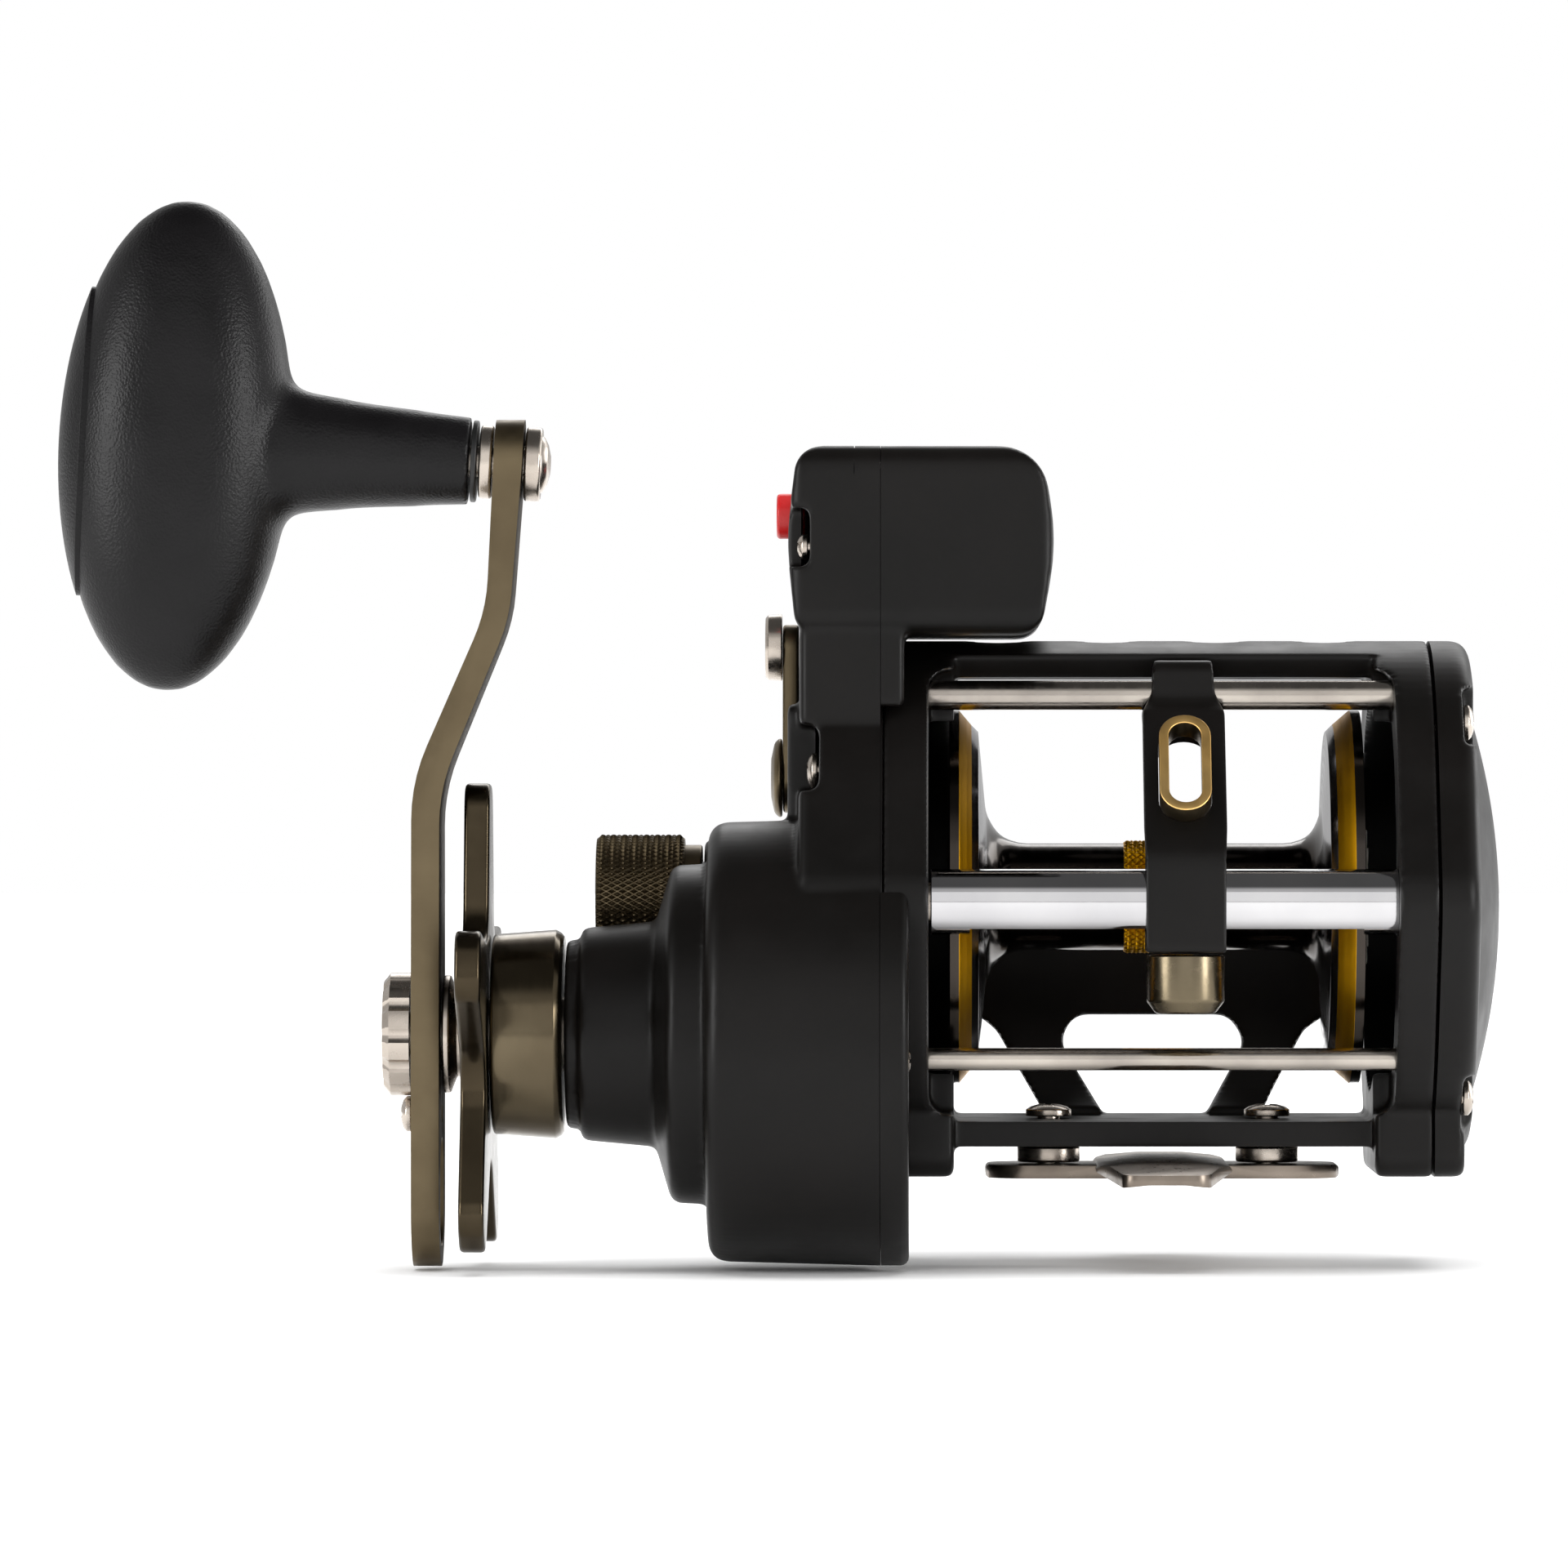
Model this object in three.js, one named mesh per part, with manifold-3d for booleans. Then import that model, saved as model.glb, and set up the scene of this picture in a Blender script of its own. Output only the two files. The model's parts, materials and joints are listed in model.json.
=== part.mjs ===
// A level-wind trolling reel with a line counter, right-hand crank, star drag and T-bar knob.
// Millimetres, +Z up. X runs along the spool shaft with the crank on -X, the line guide looks
// along -Y, and the origin is the middle of the reel foot's underside.
import * as THREE from "three";
import { mergeVertices } from "three/addons/utils/BufferGeometryUtils.js";
import Module from "manifold-3d";

const wasm = await Module();
wasm.setup();

// ---------------------------------------------------------------- driving dimensions
const GAP = 0.3;
const SPOOL_Z = 37;
const GEAR_DISTANCE = 24;
const GEAR_Y = -16.3;
const GEAR_Z = SPOOL_Z - Math.sqrt(GEAR_DISTANCE ** 2 - GEAR_Y ** 2);
const WORM_Y = -29.6;
const WORM_Z = 36.6;

// Stations along X, from the crank side to the tail plate.
const NUT_X = -100.8;
const ARM_OUTER_X = -97;
const ARM_THICKNESS = 3.6;
const STAR_X = -90.3;
const STAR_THICKNESS = 3.3;
const COLLAR_X = -86.7;
const NOSE_X = -77.2;
const LOBE_X = -58.9;
const THIN_X = -47.1;
const SEAM_X = -36.6;
const RING_LEFT_X = -36.3;
const LIP_LEFT_X = -27.2;
const LIP_RIGHT_X = 27.2;
const RING_RIGHT_X = 34.6;
const TAIL_X = RING_RIGHT_X + GAP;
const TAIL_RIM_X = 40;

// Side outlines.
const RING_RADIUS = 33.5;
const RING_BORE = 25.1;
const NOSE_BULGE = 8;
const LOBE_RADIUS = 29;
const LOBE_Z = GEAR_Z - 1;
const CAST_BOSS_RADIUS = 10.3;
const WALL = 2.2;

// Running gear.
const MAIN_MODULE = 0.75;
const MAIN_TEETH = 53;
const PINION_TEETH = 11;
const TRAIN_MODULE = 0.8;
const SPOOL_GEAR_TEETH = 12;
const IDLER_TEETH = 24;
const WORM_GEAR_TEETH = 14;
const SHAFT_RADIUS = 2;

// Spool.
const SPOOL_LEFT_X = -26.9;
const SPOOL_RIGHT_X = 24.9;
const FLANGE_RADIUS = 24.4;
const HUB_RADIUS = 7;

// Level wind.
const TUBE_RADIUS = 4.2;
const TUBE_BORE = 3.3;
const WORM_RADIUS = 2.7;
const TOP_ROD = { y: -15.5, z: 63.2, r: 1.92 };
const BOTTOM_ROD = { y: -23, z: 16.3, r: 1.45 };
const GUIDE_X = 2.4;
const GUIDE_WIDTH = 10.6;
const EYE = { y: -26.4, z: 53.6, lean: 36, width: 6.4, height: 13.2, depth: 5 };

// Crank arm and knob.
const KNOB_X = -84.7;
const KNOB_Z = 93.2;
const KNOB_TILT = 3;
const BAR_CENTRE = -43;
const BAR_HALF = { x: 14.8, y: 11.8, z: 31.8 };

// Line counter.
const COUNTER = { x0: -48.7, x1: -14.1, y0: -26, y1: 12, z0: 70.8, z1: 95.2 };
const WHEEL_AXIS = { y: -5, z: 86.4 };

const COUNTER_WINDOW = { x0: -36, x1: -20.3, y0: -12, y1: 2 };
const RESET_BUTTON = { y: -4, z: 86.7 };

// Lever, click button and the dish on the tail plate.
const LEVER_PIVOT = { y: 9, z: 52.6 };
const CLICK_BUTTON = { y: 17, z: 20 };
const DISH = { z: 35.7, r: 26, rise: 4.1 };

// Fasteners.
const LOCK_SCREW_DROP = 10.3;
const FOOT_SCREW_X = [-14.8, 13.8];
const SIDE_SCREW = { y: -20.5, z: 53.4 };
const COVER_SCREW = { y: -41, z: 16.5 };
const COUNTER_SCREW = { y: -22.6, z: 82.2 };
const TAIL_SCREWS = [
  ["upper_front", -19, 59.6],
  ["lower_front", -18, 11.2],
  ["upper_rear", 19, 59.6],
  ["lower_rear", 18, 11.2],
];

const deg = THREE.MathUtils.degToRad;

// ---------------------------------------------------------------- materials
function finish(color, roughness, metalness) {
  return new THREE.MeshStandardMaterial({ color, roughness, metalness });
}
const blackAlloy = () => finish(0x232021, 0.5, 0.4);
const gunmetal = () => finish(0x5a5241, 0.35, 0.9);
const polishedGunmetal = () => finish(0x6b6350, 0.2, 1);
const steel = () => finish(0xb9b0a6, 0.25, 1);
const chrome = () => finish(0xdcdcdc, 0.1, 1);
const brass = () => finish(0xc8964a, 0.3, 1);
const softBlack = () => finish(0x262527, 0.7, 0);
const nylon = () => finish(0xdad7cc, 0.6, 0);

// ---------------------------------------------------------------- solids
// A three.js geometry as a manifold-3d solid, with its faces pointing out.
function solid(geometry) {
  const bare = geometry.clone();
  bare.deleteAttribute("normal");
  bare.deleteAttribute("uv");
  const merged = mergeVertices(bare, 1e-4);
  const triangles = [];
  for (let i = 0; i < merged.index.count; i += 3) {
    const [a, b, c] = [0, 1, 2].map((k) => merged.index.getX(i + k));
    if (a !== b && b !== c && c !== a) triangles.push(a, b, c);
  }
  const build = (triVerts) =>
    new wasm.Manifold(
      new wasm.Mesh({
        numProp: 3,
        vertProperties: merged.attributes.position.array,
        triVerts: new Uint32Array(triVerts),
      }),
    );
  const made = build(triangles);
  return made.volume() > 0 ? made : build(triangles.reverse());
}

function geometryOf(manifold) {
  const mesh = manifold.getMesh();
  const geometry = new THREE.BufferGeometry();
  geometry.setAttribute("position", new THREE.BufferAttribute(mesh.vertProperties, 3));
  geometry.setIndex(new THREE.BufferAttribute(mesh.triVerts, 1));
  geometry.computeVertexNormals();
  return geometry;
}

// A named node from a solid.
function piece(name, manifold, material) {
  const mesh = new THREE.Mesh(geometryOf(manifold), material);
  mesh.name = name;
  return mesh;
}

// A turned solid about X: each point is [x, radius], from one end of the axis to the other.
function turned(profile, segments = 16) {
  const points = profile.map(([x, r]) => new THREE.Vector2(r, x));
  return solid(new THREE.LatheGeometry(points, segments).rotateZ(-Math.PI / 2));
}

// A turned ring about X: the profile closes on itself.
function turnedRing(profile, segments = 16) {
  return turned([...profile, profile[0]], segments);
}

const tube = (x0, x1, outer, inner, segments = 14) =>
  turnedRing([[x0, inner], [x0, outer], [x1, outer], [x1, inner]], segments);

const rod = (x0, x1, r, y = 0, z = 0, segments = 16) =>
  turned([[x0, 0], [x0, r], [x1, r], [x1, 0]], segments).translate([0, y, z]);

// A vertical rod about Z.
function post(z0, z1, r, x, y, segments = 14) {
  const geometry = new THREE.CylinderGeometry(r, r, z1 - z0, segments).rotateX(Math.PI / 2);
  return solid(geometry.translate(x, y, (z0 + z1) / 2));
}

function block(x0, x1, y0, y1, z0, z1) {
  const geometry = new THREE.BoxGeometry(x1 - x0, y1 - y0, z1 - z0);
  return solid(geometry.translate((x0 + x1) / 2, (y0 + y1) / 2, (z0 + z1) / 2));
}

// A shape drawn in Y and Z, extruded along X.
function alongX(shape, x0, x1, curveSegments = 8) {
  const options = { depth: x1 - x0, bevelEnabled: false, curveSegments };
  const turn = new THREE.Matrix4().makeBasis(
    new THREE.Vector3(0, 1, 0),
    new THREE.Vector3(0, 0, 1),
    new THREE.Vector3(1, 0, 0),
  );
  const geometry = new THREE.ExtrudeGeometry(shape, options).applyMatrix4(turn);
  return solid(geometry.translate(x0, 0, 0));
}

// A shape drawn in X and Z, extruded along Y.
function alongY(shape, y0, y1, curveSegments = 12) {
  const options = { depth: y1 - y0, bevelEnabled: false, curveSegments };
  const geometry = new THREE.ExtrudeGeometry(shape, options).rotateX(Math.PI / 2);
  return solid(geometry.translate(0, y1, 0));
}

// A shape drawn in X and Y, extruded along Z.
function alongZ(shape, z0, z1) {
  const geometry = new THREE.ExtrudeGeometry(shape, { depth: z1 - z0, bevelEnabled: false });
  return solid(geometry.translate(0, 0, z0));
}

function polygon(points) {
  return new THREE.Shape(points.map(([a, b]) => new THREE.Vector2(a, b)));
}

function roundedRectangle(a0, a1, b0, b1, r) {
  const shape = new THREE.Shape();
  shape.absarc(a1 - r, b1 - r, r, 0, Math.PI / 2);
  shape.absarc(a0 + r, b1 - r, r, Math.PI / 2, Math.PI);
  shape.absarc(a0 + r, b0 + r, r, Math.PI, 1.5 * Math.PI);
  shape.absarc(a1 - r, b0 + r, r, 1.5 * Math.PI, 2 * Math.PI);
  shape.closePath();
  return shape;
}

// The outline of a belt round two circles { y, z, r }, the first one the larger. A full turn
// of either circle would have the given number of steps.
function belt(big, small, fullTurn = 32) {
  const angle = Math.atan2(small.z - big.z, small.y - big.y);
  const apart = Math.hypot(small.y - big.y, small.z - big.z);
  const spread = Math.acos((big.r - small.r) / apart);
  const arc = ({ y, z, r }, from, to) => {
    const steps = Math.max(2, Math.round((fullTurn * (to - from)) / (2 * Math.PI)));
    return Array.from({ length: steps + 1 }, (_, step) => {
      const turn = from + ((to - from) * step) / steps;
      return [y + r * Math.cos(turn), z + r * Math.sin(turn)];
    });
  };
  return polygon([
    ...arc(big, angle + spread, angle - spread + 2 * Math.PI),
    ...arc(small, angle - spread, angle + spread),
  ]);
}

function circle(y, z, r) {
  const shape = new THREE.Shape();
  shape.absarc(y, z, r, 0, 2 * Math.PI);
  return shape;
}

// ---------------------------------------------------------------- shared outlines
const ringShape = (grow, bulge = NOSE_BULGE + grow) =>
  belt({ y: 0, z: SPOOL_Z, r: RING_RADIUS + grow }, { y: WORM_Y, z: WORM_Z, r: bulge });

const lobeShape = (grow) =>
  belt(
    { y: GEAR_Y, z: LOBE_Z, r: LOBE_RADIUS + grow },
    { y: 0, z: SPOOL_Z, r: CAST_BOSS_RADIUS + grow },
  );

// The flat-bottomed pad under each ring, which stands beside the foot.
const padShape = () => roundedRectangle(-19, 19, 0.9, 16, 3);

// ---------------------------------------------------------------- frame
function sector(inner, outer, from, to) {
  const shape = new THREE.Shape();
  shape.absarc(0, SPOOL_Z, outer, deg(from), deg(to));
  shape.absarc(0, SPOOL_Z, inner, deg(to), deg(from), true);
  shape.closePath();
  return shape;
}

// A ring whose inner lip is cut back at the front, where the level wind runs.
function frameRing(x0, x1, recessX0, recessX1) {
  const bore = alongX(circle(0, SPOOL_Z, RING_BORE), x0 - 1, x1 + 1, 14);
  return alongX(ringShape(0), x0, x1)
    .add(alongX(padShape(), x0, x1, 4))
    .subtract(bore)
    .subtract(block(recessX0, recessX1, -60, -11, 9, 66.5));
}

function braceWindows() {
  const middle = polygon([
    [-7.4, 8.2], [6.3, 8.2], [11.8, 17.4], [11.6, 19.4], [9.6, 21], [-11.2, 21], [-13.3, 19.4],
    [-13, 17.4],
  ]);
  const left = polygon([
    [-15.2, 8.2], [-20.4, 17.4], [-21.6, 19.8], [-24, 21], [LIP_LEFT_X, 21], [LIP_LEFT_X, 8.2],
  ]);
  const right = polygon([
    [13.4, 8.2], [LIP_RIGHT_X, 8.2], [LIP_RIGHT_X, 21], [22.6, 21], [20.2, 19.8], [18.6, 17.4],
  ]);
  return [middle, left, right].map((shape) => alongY(shape, 8, 40));
}

function makeFrame() {
  const inner = RING_RADIUS - 3.3;
  const topBar = alongX(sector(inner, RING_RADIUS, 70, 110), LIP_LEFT_X, LIP_RIGHT_X, 5);
  const bottomBar = block(LIP_LEFT_X, LIP_RIGHT_X, -14, 14, 4.7, 8);
  const brace = alongX(sector(inner, RING_RADIUS, -68, -2), LIP_LEFT_X, LIP_RIGHT_X, 8);
  let frame = frameRing(RING_LEFT_X, LIP_LEFT_X, -30.5, -26)
    .add(frameRing(LIP_RIGHT_X, RING_RIGHT_X, 26, 29.6))
    .add(topBar)
    .add(bottomBar)
    .add(brace);
  for (const window of braceWindows()) frame = frame.subtract(window);
  for (const x of [-21.4, -7.2, 7, 21.2]) frame = frame.subtract(post(60, 75, 3.6, x, 0, 12));
  for (const x of FOOT_SCREW_X) frame = frame.subtract(post(0, 10, 1.5 + GAP, x, 0, 8));
  for (const { y, z, r } of [TOP_ROD, BOTTOM_ROD]) {
    frame = frame.subtract(rod(-33, 33, r + GAP, y, z, 12));
  }
  return frame.subtract(rod(-40, 33, TUBE_RADIUS + GAP, WORM_Y, WORM_Z, 18));
}

// ---------------------------------------------------------------- crank-side housing

// The shaft nose, its lettered cone left plain, and the drum behind it.
function noseDrum() {
  return turned(
    [
      [NOSE_X, 0], [NOSE_X, 12.2], [-75.3, 12.2], [-75.3, 13.7], [-65.7, 14.6], [-65.4, 14.9],
      [-63.7, 21.2], [-63.2, 21.8], [-57.5, 21.8], [-57.5, 0],
    ],
    32,
  ).translate([0, GEAR_Y, GEAR_Z]);
}

function counterBlock(x0, x1, inset) {
  const { y0, y1, z0, z1 } = COUNTER;
  const outline = roundedRectangle(y0 + inset, y1 - inset, z0 + inset, z1 - inset, 3 - inset / 2);
  return alongX(outline, x0, x1, 3);
}

function makeSideHousing() {
  const { y: pivotY, z: pivotZ } = LEVER_PIVOT;
  const rim = SEAM_X - GAP;
  const frontBoss = alongX(ringShape(0), COUNTER.x0, THIN_X + 1).intersect(
    block(-50, -40, -17.8, -4, 30, 62),
  );
  const neck = alongX(polygon([[-25, 50], [14, 50], [11, 72], [-25, 72]]), THIN_X, rim);
  const outer = alongX(ringShape(0), THIN_X, rim)
    .add(frontBoss)
    .add(alongX(lobeShape(0), LOBE_X, rim))
    .add(noseDrum())
    .add(neck)
    .add(counterBlock(COUNTER.x0, rim, 0))
    .add(rod(-59.8, LOBE_X + 1, 7.3, 0, SPOOL_Z))
    .add(rod(-66, LOBE_X + 1, 4.6, 0, SPOOL_Z));
  const chamber = alongX(ringShape(-WALL, NOSE_BULGE - 1.5), THIN_X + 2, 0).add(
    alongX(lobeShape(-WALL), LOBE_X + WALL, 0),
  );
  const noseBore = turned(
    [[-90, 0], [-90, 5.2], [-73.4, 5.2], [-73.4, 9.6], [-50, 9.6], [-50, 0]],
  ).translate([0, GEAR_Y, GEAR_Z]);
  const knobPocket = rod(-90, -59.8, 9.2, 0, SPOOL_Z, 32).subtract(
    rod(-91, -59, 4.6, 0, SPOOL_Z),
  );
  const leverPocket = block(-52, THIN_X, 2.4, 20, 60, 77.5);
  return outer
    .subtract(chamber)
    .subtract(noseBore)
    .subtract(knobPocket)
    .subtract(rod(-70, -40, SHAFT_RADIUS + GAP, 0, SPOOL_Z, 16))
    .subtract(counterBlock(COUNTER.x0 + 1.8, 0, 1.8))
    .subtract(leverPocket)
    .subtract(rod(-60, -40, 1.8, pivotY, pivotZ, 16))
    .subtract(rod(-52, -42, 2.95 + GAP, RESET_BUTTON.y, RESET_BUTTON.z))
    .add(rod(-46.5, -41, 4.2, SIDE_SCREW.y, SIDE_SCREW.z, 12))
    .subtract(block(-52, -44.5, -60, SIDE_SCREW.y + 2.7, 51, 58.6))
    .subtract(rod(-50, -40, 1.1 + GAP, SIDE_SCREW.y, SIDE_SCREW.z, 12))
    .add(rod(-47.2, -42, 2.8, COUNTER_SCREW.y, COUNTER_SCREW.z, 12))
    .subtract(block(-52, -45.7, -30, COUNTER_SCREW.y + 2, 80, 86.8))
    .subtract(rod(-50, -41, 0.9 + GAP, COUNTER_SCREW.y, COUNTER_SCREW.z, 12));
}

const trainDirection = new THREE.Vector2(WORM_Y, WORM_Z - SPOOL_Z).normalize();
const IDLER_REACH = (TRAIN_MODULE * (SPOOL_GEAR_TEETH + IDLER_TEETH)) / 2;
const IDLER_Y = trainDirection.x * IDLER_REACH;
const IDLER_Z = SPOOL_Z + trainDirection.y * IDLER_REACH;

// The plate that closes the gear chamber, with the lip that laps round the frame ring.
function makeInnerPlate() {
  const web = alongX(ringShape(-WALL - GAP, NOSE_BULGE - 1.8), SEAM_X - 2.6, SEAM_X).add(
    alongX(lobeShape(-WALL - GAP), SEAM_X - 2.6, SEAM_X),
  );
  const lip = alongX(lobeShape(0), SEAM_X, -33).subtract(
    alongX(ringShape(GAP), SEAM_X, -32).add(alongX(padShape(), SEAM_X, -32, 4)),
  );
  const screwPocket = rod(-34.4, -30, 2.3, COVER_SCREW.y, COVER_SCREW.z, 16);
  return web
    .add(lip)
    .subtract(block(SEAM_X, -30, -20, 60, -20, 3))
    .subtract(rod(-50, -30, 5.3, 0, SPOOL_Z))
    .subtract(rod(-50, -30, 3.1, WORM_Y, WORM_Z, 16))
    .subtract(rod(-50, -30, SHAFT_RADIUS + GAP, GEAR_Y, GEAR_Z, 16))
    .subtract(rod(-50, -30, 1.5 + GAP, IDLER_Y, IDLER_Z, 16))
    .subtract(screwPocket)
    .subtract(rod(-50, -30, 0.9 + GAP, COVER_SCREW.y, COVER_SCREW.z, 12));
}

// A domed screw with its head on -X when facing is -1, or on +X when it is 1.
function screwSolid(headX, shankX, headRadius, shankRadius, facing) {
  const top = headX - facing * 1.4;
  const profile = [
    [headX, 0], [headX, headRadius * 0.8], [top, headRadius],
    [top, shankRadius], [shankX, shankRadius], [shankX, 0],
  ];
  return turned(profile, 10);
}

// ---------------------------------------------------------------- tail plate
function makeTailPlate() {
  const rim = alongX(ringShape(0), TAIL_X, TAIL_RIM_X - 1.2)
    .add(alongX(ringShape(-1.2), TAIL_RIM_X - 2, TAIL_RIM_X))
    .add(alongX(padShape(), TAIL_X, TAIL_RIM_X - 1.2, 4));
  const { rise } = DISH;
  const arcRadius = (DISH.r ** 2 + rise ** 2) / (2 * rise);
  const dome = [[TAIL_RIM_X - 1, 0], [TAIL_RIM_X - 1, DISH.r]];
  for (let step = 0; step <= 5; step++) {
    const r = DISH.r * (1 - step / 5);
    const sag = arcRadius - Math.sqrt(arcRadius ** 2 - r ** 2);
    dome.push([TAIL_RIM_X + rise - sag, r]);
  }
  const dish = turned(dome, 28).translate([0, 0, DISH.z]);
  const boss = rod(TAIL_X, 39, 7.5, 0, SPOOL_Z);
  const hollow = alongX(ringShape(-4.5), TAIL_X - 1, 37.8).subtract(boss);
  const { y, z } = CLICK_BUTTON;
  let plate = rim.add(dish).subtract(hollow).subtract(rod(TAIL_X - 1, 39.4, 5.3, 0, SPOOL_Z));
  plate = plate.subtract(
    alongX(roundedRectangle(y - 2.6, y + 2.6, z - 5.4, z + 5.4, 2.5), 36, 46, 6),
  );
  for (const [, screwY, screwZ] of TAIL_SCREWS) {
    plate = plate
      .subtract(rod(38.2, 46, 2.6, screwY, screwZ, 12))
      .subtract(rod(34, 46, 0.9 + GAP, screwY, screwZ, 8));
  }
  return plate;
}

// ---------------------------------------------------------------- line counter
function makeCounterShell() {
  const outline = roundedRectangle(SEAM_X, COUNTER.x1, COUNTER.z0 + 0.2, COUNTER.z1, 3.4);
  const squareLeft = roundedRectangle(SEAM_X, -24, COUNTER.z0, COUNTER.z1, 0.1);
  const across = alongY(outline, -30, 30, 6).add(alongY(squareLeft, -30, 30, 1));
  const tab = block(SEAM_X, -33.6, -25, -12, 61.6, 72).subtract(
    alongX(ringShape(GAP), SEAM_X - 1, -30),
  );
  const outer = counterBlock(SEAM_X, COUNTER.x1, 0).intersect(across).add(tab);
  const cavity = counterBlock(SEAM_X - 1, COUNTER.x1 - 1.8, 1.8);
  const { x0, x1, y0, y1 } = COUNTER_WINDOW;
  const step = block(x0 - GAP, x1 + GAP, y0 - GAP, y1 + GAP, COUNTER.z1 - 0.9, 100);
  const opening = block(x0 + 1.2, x1 - 1.2, y0 + 1.2, y1 - 1.2, 90, 100);
  const axle = rod(-45, COUNTER.x1 - 1, 1.2, WHEEL_AXIS.y, WHEEL_AXIS.z, 16);
  return outer.subtract(cavity).subtract(step).subtract(opening).add(axle);
}

// ---------------------------------------------------------------- gears
// An involute spur gear about X, thinned for running clearance, with one tooth centred at phase.
function gear(module, teeth, x0, x1, bore, phase, addendum, thinning) {
  const pitch = (module * teeth) / 2;
  const pressure = deg(20);
  const base = pitch * Math.cos(pressure);
  const root = pitch - module * 1.05;
  const tip = pitch + module * addendum;
  const involute = (angle) => Math.tan(angle) - angle;
  const halfAtPitch = Math.PI / (2 * teeth) - thinning / (2 * pitch);
  const halfAngle = (r) =>
    halfAtPitch + involute(pressure) - involute(Math.acos(Math.min(1, base / r)));
  const flank = teeth > 20 ? [root, tip] : [root, Math.max(base, root + 0.02), tip];
  const shape = [];
  for (let tooth = 0; tooth < teeth; tooth++) {
    const centre = phase + (2 * Math.PI * tooth) / teeth;
    const at = (r, angle) => [r * Math.cos(centre + angle), r * Math.sin(centre + angle)];
    for (const r of flank) shape.push(at(r, -halfAngle(r)));
    for (const r of [...flank].reverse()) shape.push(at(r, halfAngle(r)));
  }
  return alongX(polygon(shape), x0, x1).subtract(rod(x0 - 1, x1 + 1, bore));
}

// ---------------------------------------------------------------- spool
function makeSpool() {
  const right = SPOOL_RIGHT_X;
  const left = SPOOL_LEFT_X;
  return turnedRing(
    [
      [left, 2.3], [left, 6.5], [left + 1.6, 8], [left + 1, 21.6], [left, 22.6],
      [left, FLANGE_RADIUS], [-26.6, FLANGE_RADIUS], [-24.9, 22.6], [-23.4, 10.8],
      [-21.2, 7.9], [-18.9, HUB_RADIUS], [17, HUB_RADIUS], [19.3, 7.9], [21.4, 10.8],
      [22.6, 22.6], [24.4, FLANGE_RADIUS], [right, FLANGE_RADIUS], [right, 22.6],
      [right - 0.9, 21.6], [right - 1.6, 8], [right, 6.5], [right, 2.3],
    ],
    28,
  );
}

// ---------------------------------------------------------------- level wind
function makeLevelWindTube() {
  const slot = block(-25.2, 25.2, WORM_Y - 2.4, WORM_Y + 2.4, 30, WORM_Z - 1);
  return tube(-30.2, 32.6, TUBE_RADIUS, TUBE_BORE, 24)
    .translate([0, WORM_Y, WORM_Z])
    .subtract(slot);
}

function makeLineGuide() {
  const half = GUIDE_WIDTH / 2;
  const side = polygon([
    [WORM_Y - 5.4, 30.1], [WORM_Y + 4.85, 30.1], [WORM_Y + 4.85, 40.5], [WORM_Y + 3.4, 43.6],
    [-14.4, 59.2], [-12, 60.6], [-12, 66.4], [-14, 67.7], [-17.4, 67.7], [-19.4, 65.8],
    [-20.8, 62.6], [WORM_Y - 5.4, 42.4],
  ]);
  const front = polygon([
    [-half, 29], [half, 29], [half, 60.6], [half - 1, 63.4], [3.6, 69], [-3.6, 69],
    [1 - half, 63.4], [-half, 60.6],
  ]);
  return alongX(side, -8, 8, 4)
    .intersect(alongY(front, -60, 0, 4))
    .subtract(rod(-9, 9, TUBE_RADIUS + GAP, WORM_Y, WORM_Z, 24))
    .subtract(rod(-9, 9, TOP_ROD.r + GAP, TOP_ROD.y, TOP_ROD.z, 16))
    .subtract(eyeCut(GAP))
    .subtract(post(29, 33, 2.2 + GAP, 0, WORM_Y, 20));
}

// An upright racetrack prism that leans back with the guide's face.
function racetrack(width, height, depth) {
  const shape = roundedRectangle(-width / 2, width / 2, -height / 2, height / 2, width / 2 - 0.01);
  return alongY(shape, -depth, depth, 4)
    .rotate([-EYE.lean, 0, 0])
    .translate([0, EYE.y, EYE.z]);
}

const eyeCut = (grow) => racetrack(EYE.width + 2 * grow, EYE.height + 2 * grow, 12);

function makeGuideEye() {
  const outer = racetrack(EYE.width, EYE.height, EYE.depth / 2 + 0.4);
  return outer.subtract(racetrack(EYE.width - 2, EYE.height - 2, 9));
}

// ---------------------------------------------------------------- crank
function makeCrankArm() {
  const left = ARM_OUTER_X;
  const right = ARM_OUTER_X + ARM_THICKNESS;
  const bend = polygon([
    [left, -14], [right, -14], [right, 48], [right + 0.6, 52.6], [right + 2.8, 58.2],
    [right + 7.6, 68], [right + 9.3, 75.5], [-82.9, KNOB_Z], [-82.6, 102], [-86.2, 102],
    [-86.5, KNOB_Z], [left + 9.6, 76.6], [left + 7.4, 69.4], [left + 2.6, 59.6],
    [left + 0.4, 53.6], [left + 0.1, 48],
  ]);
  const hub = { y: GEAR_Y, z: GEAR_Z, r: 8.3 };
  const outline = alongX(belt(hub, { y: GEAR_Y, z: KNOB_Z, r: 5.6 }, 28), -110, -70).add(
    alongX(belt(hub, { y: GEAR_Y, z: -2.6, r: 8 }, 28), -110, -70),
  );
  const lightening = roundedRectangle(GEAR_Y - 4.2, GEAR_Y + 4.2, -8, 6, 4.1);
  return alongY(bend, -40, 10)
    .intersect(outline)
    .subtract(alongX(lightening, -110, -70, 4))
    .subtract(rod(-110, -80, 3 + GAP, GEAR_Y, GEAR_Z, 20))
    .subtract(rod(-110, -80, 1 + GAP, GEAR_Y, GEAR_Z - LOCK_SCREW_DROP, 12))
    .subtract(knobFrame(rod(-10, 10, SHAFT_RADIUS + GAP, 0, 0, 20)));
}

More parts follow.
